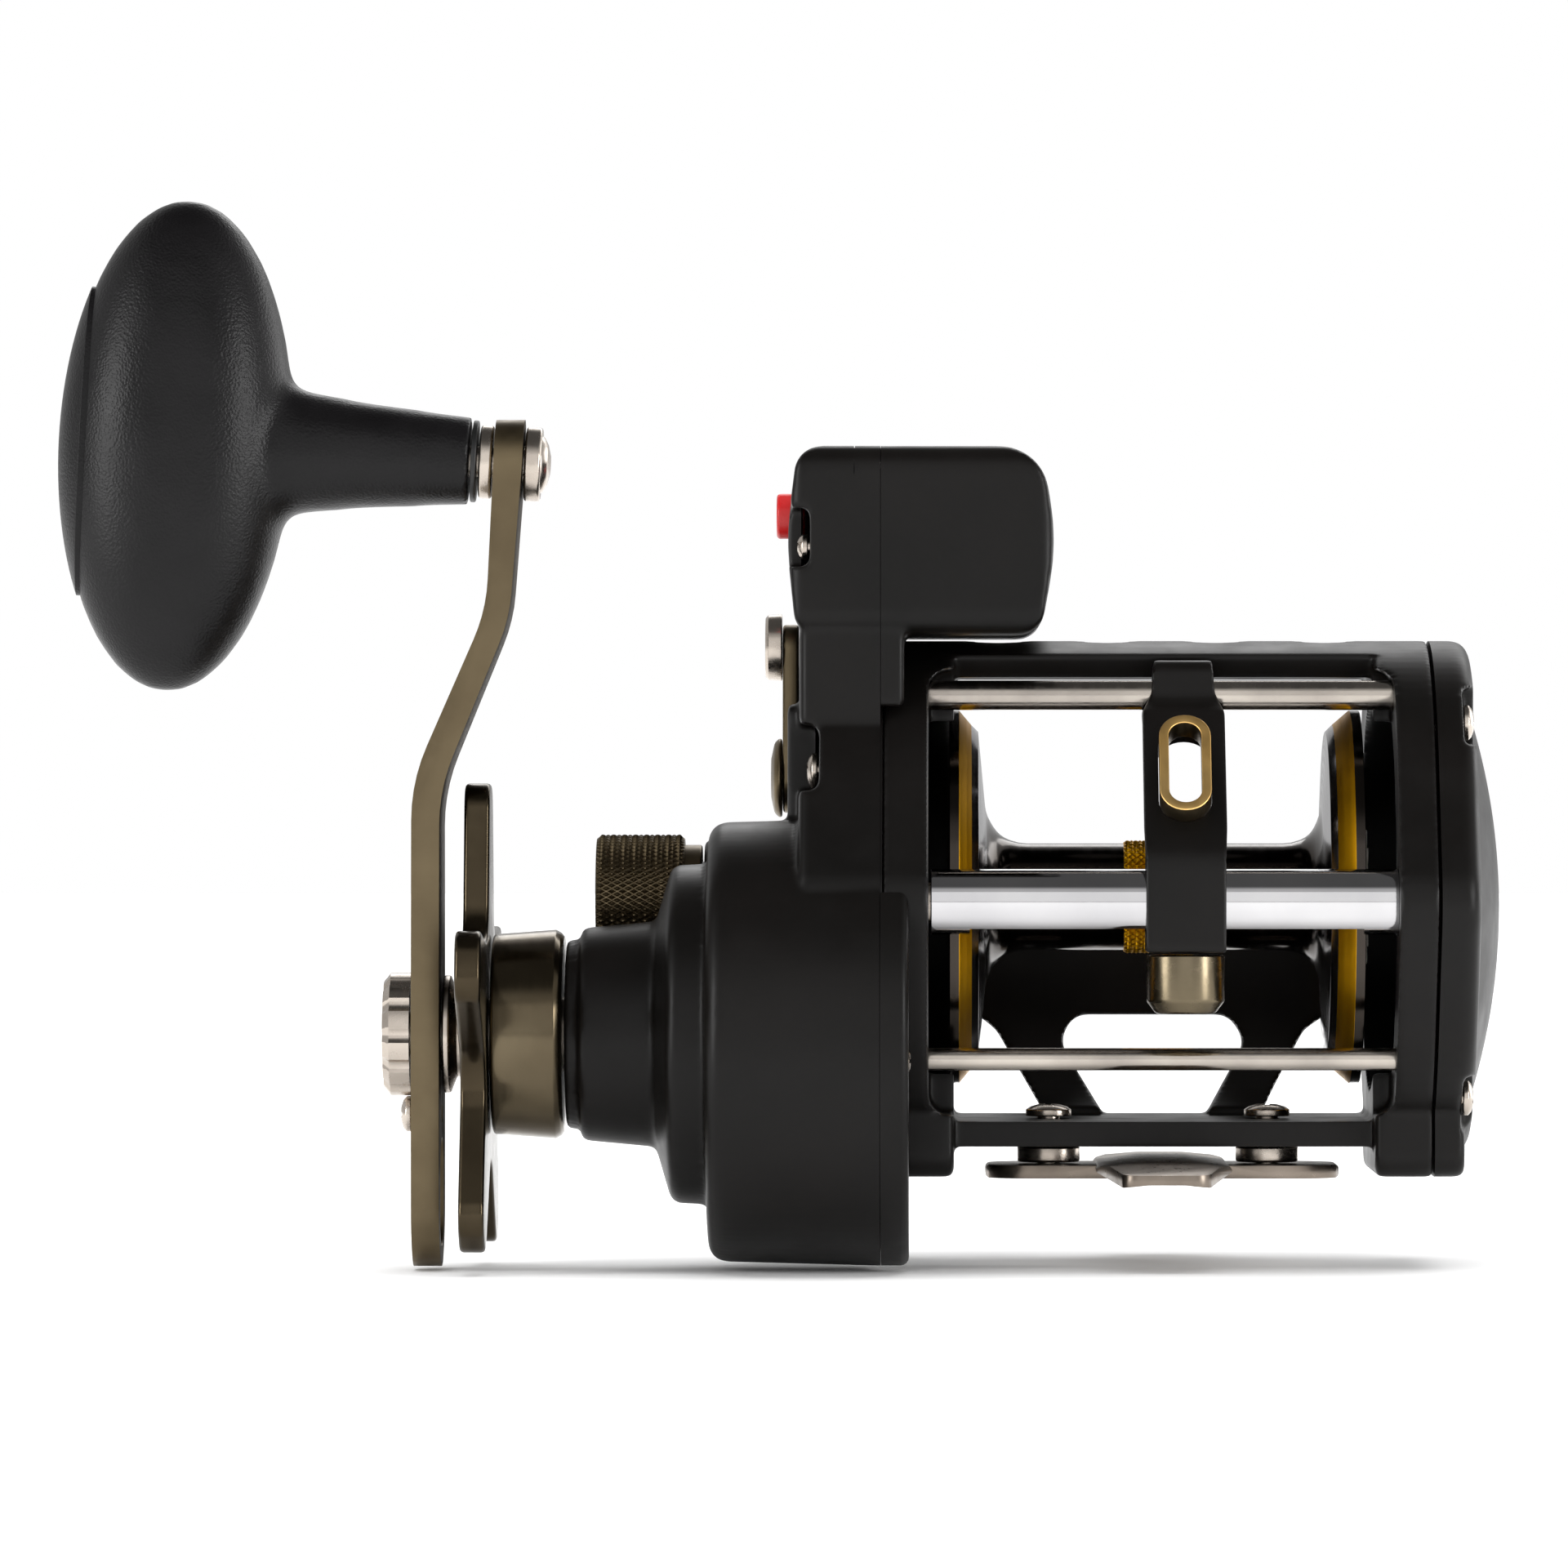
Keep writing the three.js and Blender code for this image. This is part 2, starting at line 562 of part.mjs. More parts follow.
// Carries a solid from the knob's own frame, its axis on X, to the leaning stud.
function knobFrame(manifold) {
  return manifold.rotate([0, KNOB_TILT, 0]).translate([KNOB_X, GEAR_Y, KNOB_Z]);
}

function makeArmNut() {
  const outer = turned(
    [[NUT_X, 0], [NUT_X, 6.6], [NUT_X + 0.8, 8], [NUT_X + 3.5, 8], [NUT_X + 3.5, 0]],
    36,
  );
  let nut = outer.subtract(rod(NUT_X - 1, NUT_X + 5, 3 + GAP));
  for (let scallop = 0; scallop < 12; scallop++) {
    const angle = deg(30 * scallop + 30);
    nut = nut.subtract(
      rod(NUT_X - 1, NUT_X + 5, 1.3, 8.9 * Math.cos(angle), 8.9 * Math.sin(angle), 8),
    );
  }
  const lockScrewRoom = rod(NUT_X - 1, NUT_X + 5, 2.35 + GAP, 0, -LOCK_SCREW_DROP, 20);
  return nut.subtract(lockScrewRoom);
}

function makeStarWheel() {
  let star = alongX(circle(0, 0, 12.4), STAR_X, STAR_X + STAR_THICKNESS, 20);
  for (let arm = 0; arm < 5; arm++) {
    const spoke = alongX(
      belt({ y: 0, z: 0, r: 10.5 }, { y: 0, z: 28.1, r: 4.3 }, 18),
      STAR_X,
      STAR_X + STAR_THICKNESS,
    );
    star = star.add(spoke.rotate([72 * arm, 0, 0]));
  }
  return star.subtract(rod(STAR_X - 1, STAR_X + 6, 5.1));
}

function makeCrankShaft() {
  return turned([
    [-100.2, 0], [-100.2, 2.6], [-99.8, 3], [-90.4, 3], [-90.4, 4.8], [-51.5, 4.8], [-51.5, 4.2],
    [-44.7, 4.2], [-44.7, 8], [-43.9, 8], [-43.9, SHAFT_RADIUS], [-36.8, SHAFT_RADIUS],
    [-36.8, 0],
  ]);
}

// ---------------------------------------------------------------- knob, in its own frame
function ellipsoid(grow, widthSegments, heightSegments) {
  const { x, y, z } = BAR_HALF;
  const ball = new THREE.SphereGeometry(1, widthSegments, heightSegments).rotateX(Math.PI / 2);
  return solid(ball.scale(x + grow, y + grow, z + grow).translate(BAR_CENTRE, 0, 0));
}

function panelPrism(grow, x0, x1) {
  const shape = new THREE.Shape();
  shape.absellipse(0, 0, 7.6 + grow, 20 + grow, 0, 2 * Math.PI);
  return alongX(shape, x0, x1, 20);
}

const PANEL_FLOOR = BAR_CENTRE - BAR_HALF.x + 4.6;

function makeKnobGrip() {
  const stem = turned(
    [
      [-45, 0], [-45, 9], [-31, 9], [-29, 8.4], [-25.5, 7.4], [-19, 6.8], [-11, 6.1],
      [-5.1, 5.65], [-5.1, 0],
    ],
    20,
  );
  return ellipsoid(0, 18, 12)
    .add(stem)
    .subtract(rod(-36, 0, SHAFT_RADIUS + GAP, 0, 0, 20))
    .subtract(panelPrism(GAP, -80, PANEL_FLOOR));
}

function makeKnobPanel() {
  return ellipsoid(0.5, 18, 12).intersect(panelPrism(0, -80, PANEL_FLOOR - GAP));
}

function makeKnobStud() {
  return turned(
    [
      [-35, 0], [-35, SHAFT_RADIUS], [-3.8, SHAFT_RADIUS], [-3.8, 4.5], [-3.5, 4.75],
      [-2.3, 4.75], [-2.1, 4.5], [-2.1, SHAFT_RADIUS], [3.6, SHAFT_RADIUS], [3.6, 0],
    ],
    14,
  );
}

function makeKnobNut() {
  return turned(
    [
      [2.1, 0], [2.1, 4.6], [2.4, 4.8], [4, 4.8], [4.3, 4.5], [4.4, 3.4], [5.1, 2.6], [5.3, 0],
    ],
    14,
  ).subtract(rod(1, 3.9, SHAFT_RADIUS + GAP, 0, 0, 20));
}

// ---------------------------------------------------------------- foot
function makeFoot() {
  const section = polygon([
    [-5.6, 0], [5.6, 0], [9, 1.7], [8.6, 2.2], [4, 3], [-4, 3], [-8.6, 2.2], [-9, 1.7],
  ]);
  const plan = polygon([
    [-5.6, -31], [5.6, -31], [9, -14], [9, 14], [5.6, 31], [-5.6, 31], [-9, 14], [-9, -14],
  ]);
  const tongue = alongY(section, -31, 31).intersect(alongZ(plan, -1, 4));
  const wings = roundedRectangle(-23.1, 23.1, 0.4, 2, 0.5);
  let foot = tongue.add(alongY(wings, -9, 9, 3));
  for (const x of FOOT_SCREW_X) foot = foot.subtract(post(-1, 5, 1.5 + GAP, x, 0, 8));
  return foot;
}

function footScrew(x) {
  return post(8.3, 9.9, 3, x, 0, 24).add(post(0.1, 9, 1.5, x, 0, 12));
}

// ---------------------------------------------------------------- free-spool lever and knobs
function makeLever() {
  const shape = belt({ y: 0, z: 0, r: 4.6 }, { y: 0, z: 17.2, r: 3.4 }, 20);
  return alongX(shape, -49.7, -47.6).subtract(rod(-60, -40, 1.8, 0, 0, 16));
}

function makeLeverCap() {
  return turned([
    [-51.3, 0], [-51.3, 3.4], [-50.9, 4.6], [-50.3, 5.1], [-50, 5.1], [-50, 1.5], [-44.4, 1.5],
    [-44.4, 0],
  ]);
}

function makeLeverButton() {
  return turned(
    [[-52, 0], [-52, 3.7], [-51.4, 4.3], [-50.3, 4.4], [-50, 4.2], [-50, 0]],
    20,
  ).translate([0, 0, 17.2]);
}

function makeCastKnob() {
  const outer = turned(
    [
      [-73.9, 0], [-73.9, 7.3], [-73.1, 8.1], [-62.7, 8.1], [-62.4, 7.8], [-62.4, 6.8],
      [-60.1, 6.8], [-60.1, 0],
    ],
    22,
  );
  return outer.subtract(rod(-67, -50, 4.6 + GAP));
}

function makeClickButton() {
  return alongX(roundedRectangle(-2.2, 2.2, -2.8, 2.8, 2), 38.1, 42.4, 5);
}

function numberWheel(index) {
  const x0 = -34.4 + index * 3.6;
  return tube(x0, x0 + 3.3, 6.2, 1.5, 16);
}

// ---------------------------------------------------------------- assembly
const reel = new THREE.Group();

function body(y, z, ...meshes) {
  const group = new THREE.Group();
  group.position.set(0, y, z);
  group.add(...meshes);
  reel.add(group);
  return group;
}

// The fixed structure.
reel.add(
  piece("frame", makeFrame(), blackAlloy()),
  piece("side_housing", makeSideHousing(), blackAlloy()),
  piece("inner_side_plate", makeInnerPlate(), blackAlloy()),
  piece("tail_plate", makeTailPlate(), blackAlloy()),
  piece("counter_shell", makeCounterShell(), blackAlloy()),
  piece(
    "counter_window",
    block(COUNTER_WINDOW.x0, COUNTER_WINDOW.x1, COUNTER_WINDOW.y0, COUNTER_WINDOW.y1,
      COUNTER.z1 - 0.6, COUNTER.z1 + 0.3),
    finish(0x8a9094, 0.1, 0),
  ),
  piece("top_guide_rod", rod(-32.7, 32.7, TOP_ROD.r, TOP_ROD.y, TOP_ROD.z), steel()),
  piece("bottom_guide_rod", rod(-32.7, 32.7, BOTTOM_ROD.r, BOTTOM_ROD.y, BOTTOM_ROD.z), steel()),
  piece("level_wind_tube", makeLevelWindTube(), chrome()),
  piece("reel_foot", makeFoot(), steel()),
  piece("idler_pin", rod(-44.2, -36.8, 1.5, IDLER_Y, IDLER_Z, 16), steel()),
  piece("spool_bearing_left", tube(-39, -36.7, 5, 2.3).translate([0, 0, SPOOL_Z]), steel()),
  piece("spool_bearing_right", tube(35.2, 38.2, 5, 2.3).translate([0, 0, SPOOL_Z]), steel()),
  piece(
    "one_way_bearing",
    tube(-73.1, -60.5, 9.3, 5.1, 28).translate([0, GEAR_Y, GEAR_Z]),
    steel(),
  ),
);

["left", "right"].forEach((side, index) => {
  const x = FOOT_SCREW_X[index];
  const spacer = post(2.3, 4.4, 4.1, x, 0, 28).subtract(post(1, 6, 1.5 + GAP, x, 0, 8));
  reel.add(piece(`foot_screw_${side}`, footScrew(x), steel()));
  reel.add(piece(`foot_spacer_${side}`, spacer, steel()));
});

function headedScrew(name, headX, shankX, headRadius, shankRadius, facing, place) {
  const made = screwSolid(headX, shankX, headRadius, shankRadius, facing);
  const mesh = piece(name, made, steel());
  mesh.position.set(0, place.y, place.z);
  return mesh;
}

reel.add(
  headedScrew("side_screw", -46.2, -41.5, 2.3, 1.1, -1, SIDE_SCREW),
  headedScrew("counter_screw", -47.4, -42.6, 1.6, 0.9, -1, COUNTER_SCREW),
  headedScrew("cover_screw", -32.7, -38, 2, 0.9, 1, COVER_SCREW),
);
for (const [name, y, z] of TAIL_SCREWS) {
  reel.add(headedScrew(`tail_screw_${name}`, 39.9, 35.2, 2.3, 0.9, 1, { y, z }));
}

// The crank, on the main gear's axis.
const meshAngle = Math.atan2(SPOOL_Z - GEAR_Z, -GEAR_Y);
const lockScrew = headedScrew("nut_lock_screw", -98.7, -93.6, 2.3, 1, -1, {
  y: 0,
  z: -LOCK_SCREW_DROP,
});
const arm = piece(
  "crank_arm",
  makeCrankArm().translate([0, -GEAR_Y, -GEAR_Z]),
  gunmetal(),
);
const crank = body(
  GEAR_Y,
  GEAR_Z,
  arm,
  piece("arm_nut", makeArmNut(), steel()),
  lockScrew,
  piece("crank_shaft", makeCrankShaft(), steel()),
  piece(
    "arm_spacer",
    turnedRing([[-93.1, 3.3], [-93.1, 7.6], [-92.2, 7.6], [-91.4, 5.5], [-90.7, 5.5], [-90.7, 3.3]]),
    steel(),
  ),
  piece(
    "main_gear",
    gear(MAIN_MODULE, MAIN_TEETH, -50, -45, 4.5, meshAngle, 0.62, 0.12),
    brass(),
  ),
  piece("drag_washer", tube(-51.4, -50.3, 15, 5.1), finish(0x1d1d1d, 0.8, 0)),
);

// The star drag turns on the crank shaft.
crank.add(
  piece("star_wheel", makeStarWheel(), polishedGunmetal()),
  piece(
    "drag_collar",
    turnedRing(
      [
        [COLLAR_X, 5.1], [COLLAR_X, 12.4], [COLLAR_X + 0.5, 12.9], [-78.6, 13.5], [-77.9, 13.2],
        [-77.5, 12.6], [-77.5, 5.1],
      ],
      24,
    ),
    polishedGunmetal(),
  ),
);

// The knob, spinning on its leaning stud.
const knob = new THREE.Group();
knob.position.set(KNOB_X, 0, KNOB_Z - GEAR_Z);
knob.rotation.y = deg(KNOB_TILT);
knob.add(
  piece("knob_grip", makeKnobGrip(), softBlack()),
  piece("knob_panel", makeKnobPanel(), softBlack()),
  piece("knob_bush", tube(-4.8, -4.1, 5.3, 2.3), finish(0x151515, 0.5, 0)),
  piece("knob_stud", makeKnobStud(), steel()),
  piece("knob_nut", makeKnobNut(), steel()),
);
crank.add(knob);

// The spool and what turns with it.
const pinionPhase = meshAngle + Math.PI + Math.PI / PINION_TEETH;
const trainAngle = Math.atan2(trainDirection.y, trainDirection.x);
body(
  0,
  SPOOL_Z,
  piece("spool", makeSpool(), finish(0x1c1b1b, 0.2, 0.8)),
  piece("spool_shaft", rod(-66.6, 38.8, SHAFT_RADIUS), steel()),
  piece("pinion", gear(MAIN_MODULE, PINION_TEETH, -51.2, -44, 2.3, pinionPhase, 0.7, 0.12), brass()),
  piece(
    "spool_gear",
    gear(TRAIN_MODULE, SPOOL_GEAR_TEETH, -43.5, -40.5, 2.3, trainAngle, 0.65, 0.12),
    nylon(),
  ),
  piece("click_gear", gear(1.3, 13, 25.2, 26.8, 2.3, 0, 0.6, 0.6), nylon()),
);

const idlerPhase = trainAngle + Math.PI + Math.PI / IDLER_TEETH;
body(
  IDLER_Y,
  IDLER_Z,
  piece(
    "idler_gear",
    gear(TRAIN_MODULE, IDLER_TEETH, -43.5, -40.5, 1.8, idlerPhase, 0.65, 0.12),
    nylon(),
  ),
);

// The worm, inside its tube. Its gear's gap faces the idler tooth that points at it.
const idlerFacing = Math.round(((trainAngle - idlerPhase) * IDLER_TEETH) / (2 * Math.PI));
const idlerTooth = idlerPhase + (2 * Math.PI * idlerFacing) / IDLER_TEETH - trainAngle;
const wormPhase =
  trainAngle + Math.PI + Math.PI / WORM_GEAR_TEETH - (idlerTooth * IDLER_TEETH) / WORM_GEAR_TEETH;
body(
  WORM_Y,
  WORM_Z,
  piece(
    "worm_shaft",
    turned([
      [-43.6, 0], [-43.6, 2], [-36, 2], [-36, WORM_RADIUS], [31, WORM_RADIUS], [31, 0],
    ]),
    steel(),
  ),
  piece(
    "worm_gear",
    gear(TRAIN_MODULE, WORM_GEAR_TEETH, -43.5, -40.5, 2.3, wormPhase, 0.65, 0.12),
    nylon(),
  ),
);

// The line guide and its pawl.
const guide = new THREE.Group();
guide.position.x = GUIDE_X;
guide.add(
  piece("line_guide", makeLineGuide(), blackAlloy()),
  piece("guide_eye", makeGuideEye(), brass()),
  piece("guide_pawl", post(30.2, 33.6, 2, 0, WORM_Y, 16), brass()),
  piece(
    "pawl_cap",
    turned([[22.3, 0], [22.3, 3.9], [22.8, 4.6], [23.6, 5], [29.8, 5], [29.8, 0]], 20)
      .rotate([0, -90, 0])
      .translate([0, WORM_Y, 0]),
    polishedGunmetal(),
  ),
);
reel.add(guide);

body(
  LEVER_PIVOT.y,
  LEVER_PIVOT.z,
  piece("free_spool_lever", makeLever(), gunmetal()),
  piece("lever_cap", makeLeverCap(), polishedGunmetal()),
  piece("lever_button", makeLeverButton(), chrome()),
);

body(0, SPOOL_Z, piece("cast_control_knob", makeCastKnob(), polishedGunmetal()));

body(
  RESET_BUTTON.y,
  RESET_BUTTON.z,
  piece(
    "reset_button",
    turned([[-50.3, 0], [-50.3, 2.5], [-49.9, 2.95], [-46.6, 2.95], [-46.6, 0]], 18),
    finish(0xd22d2d, 0.4, 0),
  ),
);

body(
  CLICK_BUTTON.y,
  CLICK_BUTTON.z,
  piece("click_button", makeClickButton(), softBlack()),
);

const wheels = ["units", "tens", "hundreds"].map((place, index) =>
  piece(`number_wheel_${place}`, numberWheel(index), finish(0xe8e6df, 0.5, 0)),
);
body(WHEEL_AXIS.y, WHEEL_AXIS.z, ...wheels);

export default reel;
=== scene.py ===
"""A level-wind trolling reel with a line counter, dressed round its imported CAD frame."""
import json
import math

import bmesh
import bpy
from mathutils import Matrix, Vector


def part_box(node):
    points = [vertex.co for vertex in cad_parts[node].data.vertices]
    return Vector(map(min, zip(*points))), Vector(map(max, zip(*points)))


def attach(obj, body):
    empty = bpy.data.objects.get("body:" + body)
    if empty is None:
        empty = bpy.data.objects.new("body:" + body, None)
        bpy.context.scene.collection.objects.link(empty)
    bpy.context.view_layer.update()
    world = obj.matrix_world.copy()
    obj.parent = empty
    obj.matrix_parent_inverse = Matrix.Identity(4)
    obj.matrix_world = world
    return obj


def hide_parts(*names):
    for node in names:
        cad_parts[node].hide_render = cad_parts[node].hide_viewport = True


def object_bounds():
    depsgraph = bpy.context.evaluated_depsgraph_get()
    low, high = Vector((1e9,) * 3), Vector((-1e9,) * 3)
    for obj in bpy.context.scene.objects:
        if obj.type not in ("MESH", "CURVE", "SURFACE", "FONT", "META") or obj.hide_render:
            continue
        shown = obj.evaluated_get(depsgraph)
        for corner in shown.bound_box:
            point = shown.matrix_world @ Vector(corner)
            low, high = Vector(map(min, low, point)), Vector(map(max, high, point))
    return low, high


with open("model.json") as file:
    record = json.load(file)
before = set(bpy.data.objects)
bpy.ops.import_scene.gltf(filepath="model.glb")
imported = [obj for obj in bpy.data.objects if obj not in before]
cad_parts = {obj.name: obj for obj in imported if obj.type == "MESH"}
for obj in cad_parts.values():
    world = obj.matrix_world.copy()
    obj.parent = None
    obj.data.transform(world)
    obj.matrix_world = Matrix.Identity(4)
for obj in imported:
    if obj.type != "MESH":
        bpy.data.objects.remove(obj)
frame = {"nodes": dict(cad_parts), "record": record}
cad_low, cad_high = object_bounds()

MM = 0.001
BODY_OF = {
    node: body
    for body, nodes in frame["record"]["behaviour"]["bodies"].items()
    for node in nodes
}


# ---- places, from the frame, in mm
def span(node):
    low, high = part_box(node)
    return Vector(low) / MM, Vector(high) / MM


def along(node):
    """A node's lowest and highest X."""
    low, high = span(node)
    return low.x, high.x


def axis_of(node):
    """Where the axis of a round node along X crosses the YZ plane."""
    low, high = span(node)
    return (low.y + high.y) / 2, (low.z + high.z) / 2


def radius_of(node):
    low, high = span(node)
    return (high.z - low.z) / 2


def post_at(node):
    """The middle in X and the radius of a round node that stands on Z."""
    low, high = span(node)
    return (low.x + high.x) / 2, (high.x - low.x) / 2


# Axes along X, as (y, z).
SPOOL = axis_of("spool_shaft")
GEAR = axis_of("drag_collar")
WORM = axis_of("worm_shaft")
LOBE = GEAR[0], GEAR[1] - 1

# The crank side, from the nose's left end to the seam with the frame.
NOSE_X, RIM_X = along("side_housing")
LOBE_X = RIM_X - 22
LOBE_RADIUS = 29
THIN_X = RIM_X - 10.2
BOSS_FRONT = -17.8
CAST_BOSS = 10.3
SEAM_X = RIM_X + 0.3

# The counter, half on the housing and half on its own shell.
SHELL_LOW, SHELL_HIGH = span("counter_shell")
COUNTER_X0 = RIM_X - 11.8
COUNTER_LOW = SHELL_HIGH.z - 24.4
COUNTER_WALL = 1.8
COVER_SEAM_X = RIM_X - 3.2

# The frame's rings and the tail plate.
FRAME_LOW, FRAME_HIGH = span("frame")
RING_LEFT, RING_RIGHT = along("frame")
LIP_LEFT = RING_LEFT + 9.1
LIP_RIGHT = RING_RIGHT - 7.4
RING_RADIUS = FRAME_HIGH.z - SPOOL[1]
RING_BORE = 25.1
NOSE_BULGE = WORM[0] - FRAME_LOW.y
TAIL_X, DOME_X = along("tail_plate")
TAIL_RIM_X = TAIL_X + 5.1

# Walls, gaps and the radii of holes.
WALL = 2.2
GAP = 0.3
SEAM = 0.07
SCREW_HOLE = 1.2
BOLT_HOLE = 1.8
SHAFT_HOLE = 2.3
BEARING_SEAT = 5.3

# The knob on its leaning stud, and the eye on the guide's sloping face.
KNOB_TILT = math.radians(3)
KNOB = Vector((-84.7, GEAR[0], 93.2))
BAR_CENTRE = -43
BAR_HALF = Vector((14.8, 11.8, 31.8))
GUIDE_X = sum(along("line_guide")) / 2
EYE = Vector((GUIDE_X, -26.4, 53.6))
EYE_LEAN = math.radians(36)
EYE_DEPTH = 2.85
EYE_REAR = 0.3
EYE_RIM = 1.25


# ---- outlines
def filleted(points, closed=True, step=12):
    """A polyline with rounded corners: points are (a, b) or (a, b, radius), 0 for a sharp one."""
    path = []
    for index, point in enumerate(points):
        here = Vector(point[:2])
        sharp = len(point) < 3 or not point[2]
        if sharp or not closed and index in (0, len(points) - 1):
            path.append(here)
            continue
        before = Vector(points[index - 1][:2]) - here
        after = Vector(points[(index + 1) % len(points)][:2]) - here
        inside = before.angle(after)
        reach = min(point[2] / math.tan(inside / 2), 0.49 * before.length, 0.49 * after.length)
        radius = reach * math.tan(inside / 2)
        middle = (before.normalized() + after.normalized()).normalized()
        centre = here + middle * radius / math.sin(inside / 2)
        start = here + before.normalized() * reach - centre
        end = here + after.normalized() * reach - centre
        sweep = math.pi - inside
        count = max(2, math.ceil(math.degrees(sweep) / step))
        for k in range(count + 1):
            t = k / count
            arm = start * math.sin((1 - t) * sweep) + end * math.sin(t * sweep)
            path.append(centre + arm / math.sin(sweep))
    return path


def arc(a, b, radius, start, end, steps):
    """Points round (a, b), with the angles in degrees."""
    turns = [math.radians(start + (end - start) * k / steps) for k in range(steps + 1)]
    return [Vector((a + radius * math.cos(t), b + radius * math.sin(t))) for t in turns]


def circle(a, b, radius):
    return arc(a, b, radius, 0, 360, 48)[:-1]


def rectangle(a0, a1, b0, b1, radius):
    corners = [(a0, b0, radius), (a1, b0, radius), (a1, b1, radius), (a0, b1, radius)]
    return filleted(corners)


def mirrored(half, middle=0.0):
    """A closed outline with rounded corners from its right half, listed upwards."""
    right = [(middle + a, *rest) for a, *rest in half]
    left = [(middle - a, *rest) for a, *rest in reversed(half)]
    return filleted(right + left)


def belt(big, small):
    """The outline of a belt round two circles (a, b, radius), the larger one first."""
    step = 3
    angle = math.degrees(math.atan2(small[1] - big[1], small[0] - big[0]))
    apart = math.hypot(small[0] - big[0], small[1] - big[1])
    spread = math.degrees(math.acos((big[2] - small[2]) / apart))
    far = round((360 - 2 * spread) / step)
    near = max(2, round(2 * spread / step))
    return arc(*big, angle + spread, angle + 360 - spread, far) + arc(
        *small, angle - spread, angle + spread, near
    )


def inset(outline, distance):
    """The outline moved inwards by a distance, corner by corner."""
    count = len(outline)
    area = sum(
        outline[i - 1].x * outline[i].y - outline[i].x * outline[i - 1].y for i in range(count)
    )
    side = math.copysign(1, area)
    moved = []
    for i, here in enumerate(outline):
        before = (here - outline[i - 1]).normalized()
        after = (outline[(i + 1) % count] - here).normalized()
        inward = Vector((-before.y - after.y, before.x + after.x)) * side
        moved.append(here + inward * distance / (1 + before.dot(after)))
    return moved


def ring_outline(grow=0.0, bulge=None):
    """The frame's end rings: a belt round the spool and the level wind's worm."""
    small = NOSE_BULGE + grow if bulge is None else bulge
    return belt((*SPOOL, RING_RADIUS + grow), (*WORM, small))


def lobe_outline(grow=0.0):
    """The gear lobe: a belt round the main gear and the cast-control boss."""
    return belt((*LOBE, LOBE_RADIUS + grow), (*SPOOL, CAST_BOSS + grow))


def counter_outline(inward, radius):
    """The counter seen from its end, drawn in by a distance."""
    return rectangle(
        SHELL_LOW.y + inward, SHELL_HIGH.y - inward, COUNTER_LOW + inward, SHELL_HIGH.z - inward,
        radius,
    )


def pad_outline(grow=0.0):
    """The pads that stand under the rings."""
    return rectangle(-19 - grow, 19 + grow, FRAME_LOW.z - grow, 16 + grow, 3)


# ---- solids
def mesh_object(name, points, faces):
    """A mesh from points in mm and faces, with its faces pointing out."""
    mesh = bpy.data.meshes.new(name)
    mesh.from_pydata([Vector(p) * MM for p in points], [], faces)
    tidy = bmesh.new()
    tidy.from_mesh(mesh)
    bmesh.ops.remove_doubles(tidy, verts=tidy.verts, dist=1e-7)
    bmesh.ops.recalc_face_normals(tidy, faces=tidy.faces)
    tidy.to_mesh(mesh)
    tidy.free()
    made = bpy.data.objects.new(name, mesh)
    bpy.context.scene.collection.objects.link(made)
    return made


def stacked(rings, loop=False, capped=True):
    """A skin over rings of points, with its ends joined to each other, capped or left open."""
    count = len(rings[0])
    points = [p for ring in rings for p in ring]
    faces = []
    last = len(rings) if loop else len(rings) - 1
    for r in range(last):
        near, far = r * count, (r + 1) % len(rings) * count
        for i in range(count):
            j = (i + 1) % count
            faces.append((near + i, near + j, far + j, far + i))
    if capped and not loop:
        faces.append(tuple(range(count)))
        faces.append(tuple(range(len(points) - count, len(points))))
    return mesh_object("solid", points, faces)


def laid(outline, height, axis):
    """Outline points at a height along X, Y or Z: (y, z), (x, z) or (x, y) pairs."""
    if axis == "x":
        return [(height, p.x, p.y) for p in outline]
    if axis == "y":
        return [(p.x, height, p.y) for p in outline]
    return [(p.x, p.y, height) for p in outline]


def slab(outline, low, high, edge=0.0, axis="x", steps=3, draft=0.0):
    """An outline extruded from low to high, with its rims rounded by edge, or by (low, high)."""
    first, second = edge if isinstance(edge, tuple) else (edge, edge)
    turns = [math.radians(90 * k / steps) for k in range(steps + 1)]
    stations = []
    for t in turns if first else [math.pi / 2]:
        stations.append((low + first * (1 - math.cos(t)), draft + first * (1 - math.sin(t))))
    for t in reversed(turns) if second else [math.pi / 2]:
        stations.append((high - second * (1 - math.cos(t)), second * (1 - math.sin(t))))
    return stacked([laid(inset(outline, d), height, axis) for height, d in stations])


def block(x0, x1, y0, y1, z0, z1, radius=0.0):
    """A box, with all its edges rounded by a radius."""
    return slab(rectangle(y0, y1, z0, z1, radius), x0, x1, radius)


def full_turn(steps):
    return [math.tau * k / steps for k in range(steps)]


def lathe(profile, centre=(0, 0), steps=96, loop=False):
    """A turned solid about X: profile points are (x, radius) or (x, radius, fillet)."""
    turns = full_turn(steps)
    rings = [
        [(p.x, centre[0] + p.y * math.cos(t), centre[1] + p.y * math.sin(t)) for t in turns]
        for p in filleted(profile, closed=loop)
    ]
    return stacked(rings, loop, capped=False)


def rod(x0, x1, radius, centre=(0, 0), edge=0.0, steps=96):
    """A cylinder about X, with its rims rounded by edge."""
    return lathe([(x0, 0), (x0, radius, edge), (x1, radius, edge), (x1, 0)], centre, steps)


def washer(x0, x1, outer, inner, centre=(0, 0), edge=0.2):
    return lathe(
        [(x0, inner, edge), (x0, outer, edge), (x1, outer, edge), (x1, inner, edge)],
        centre,
        loop=True,
    )


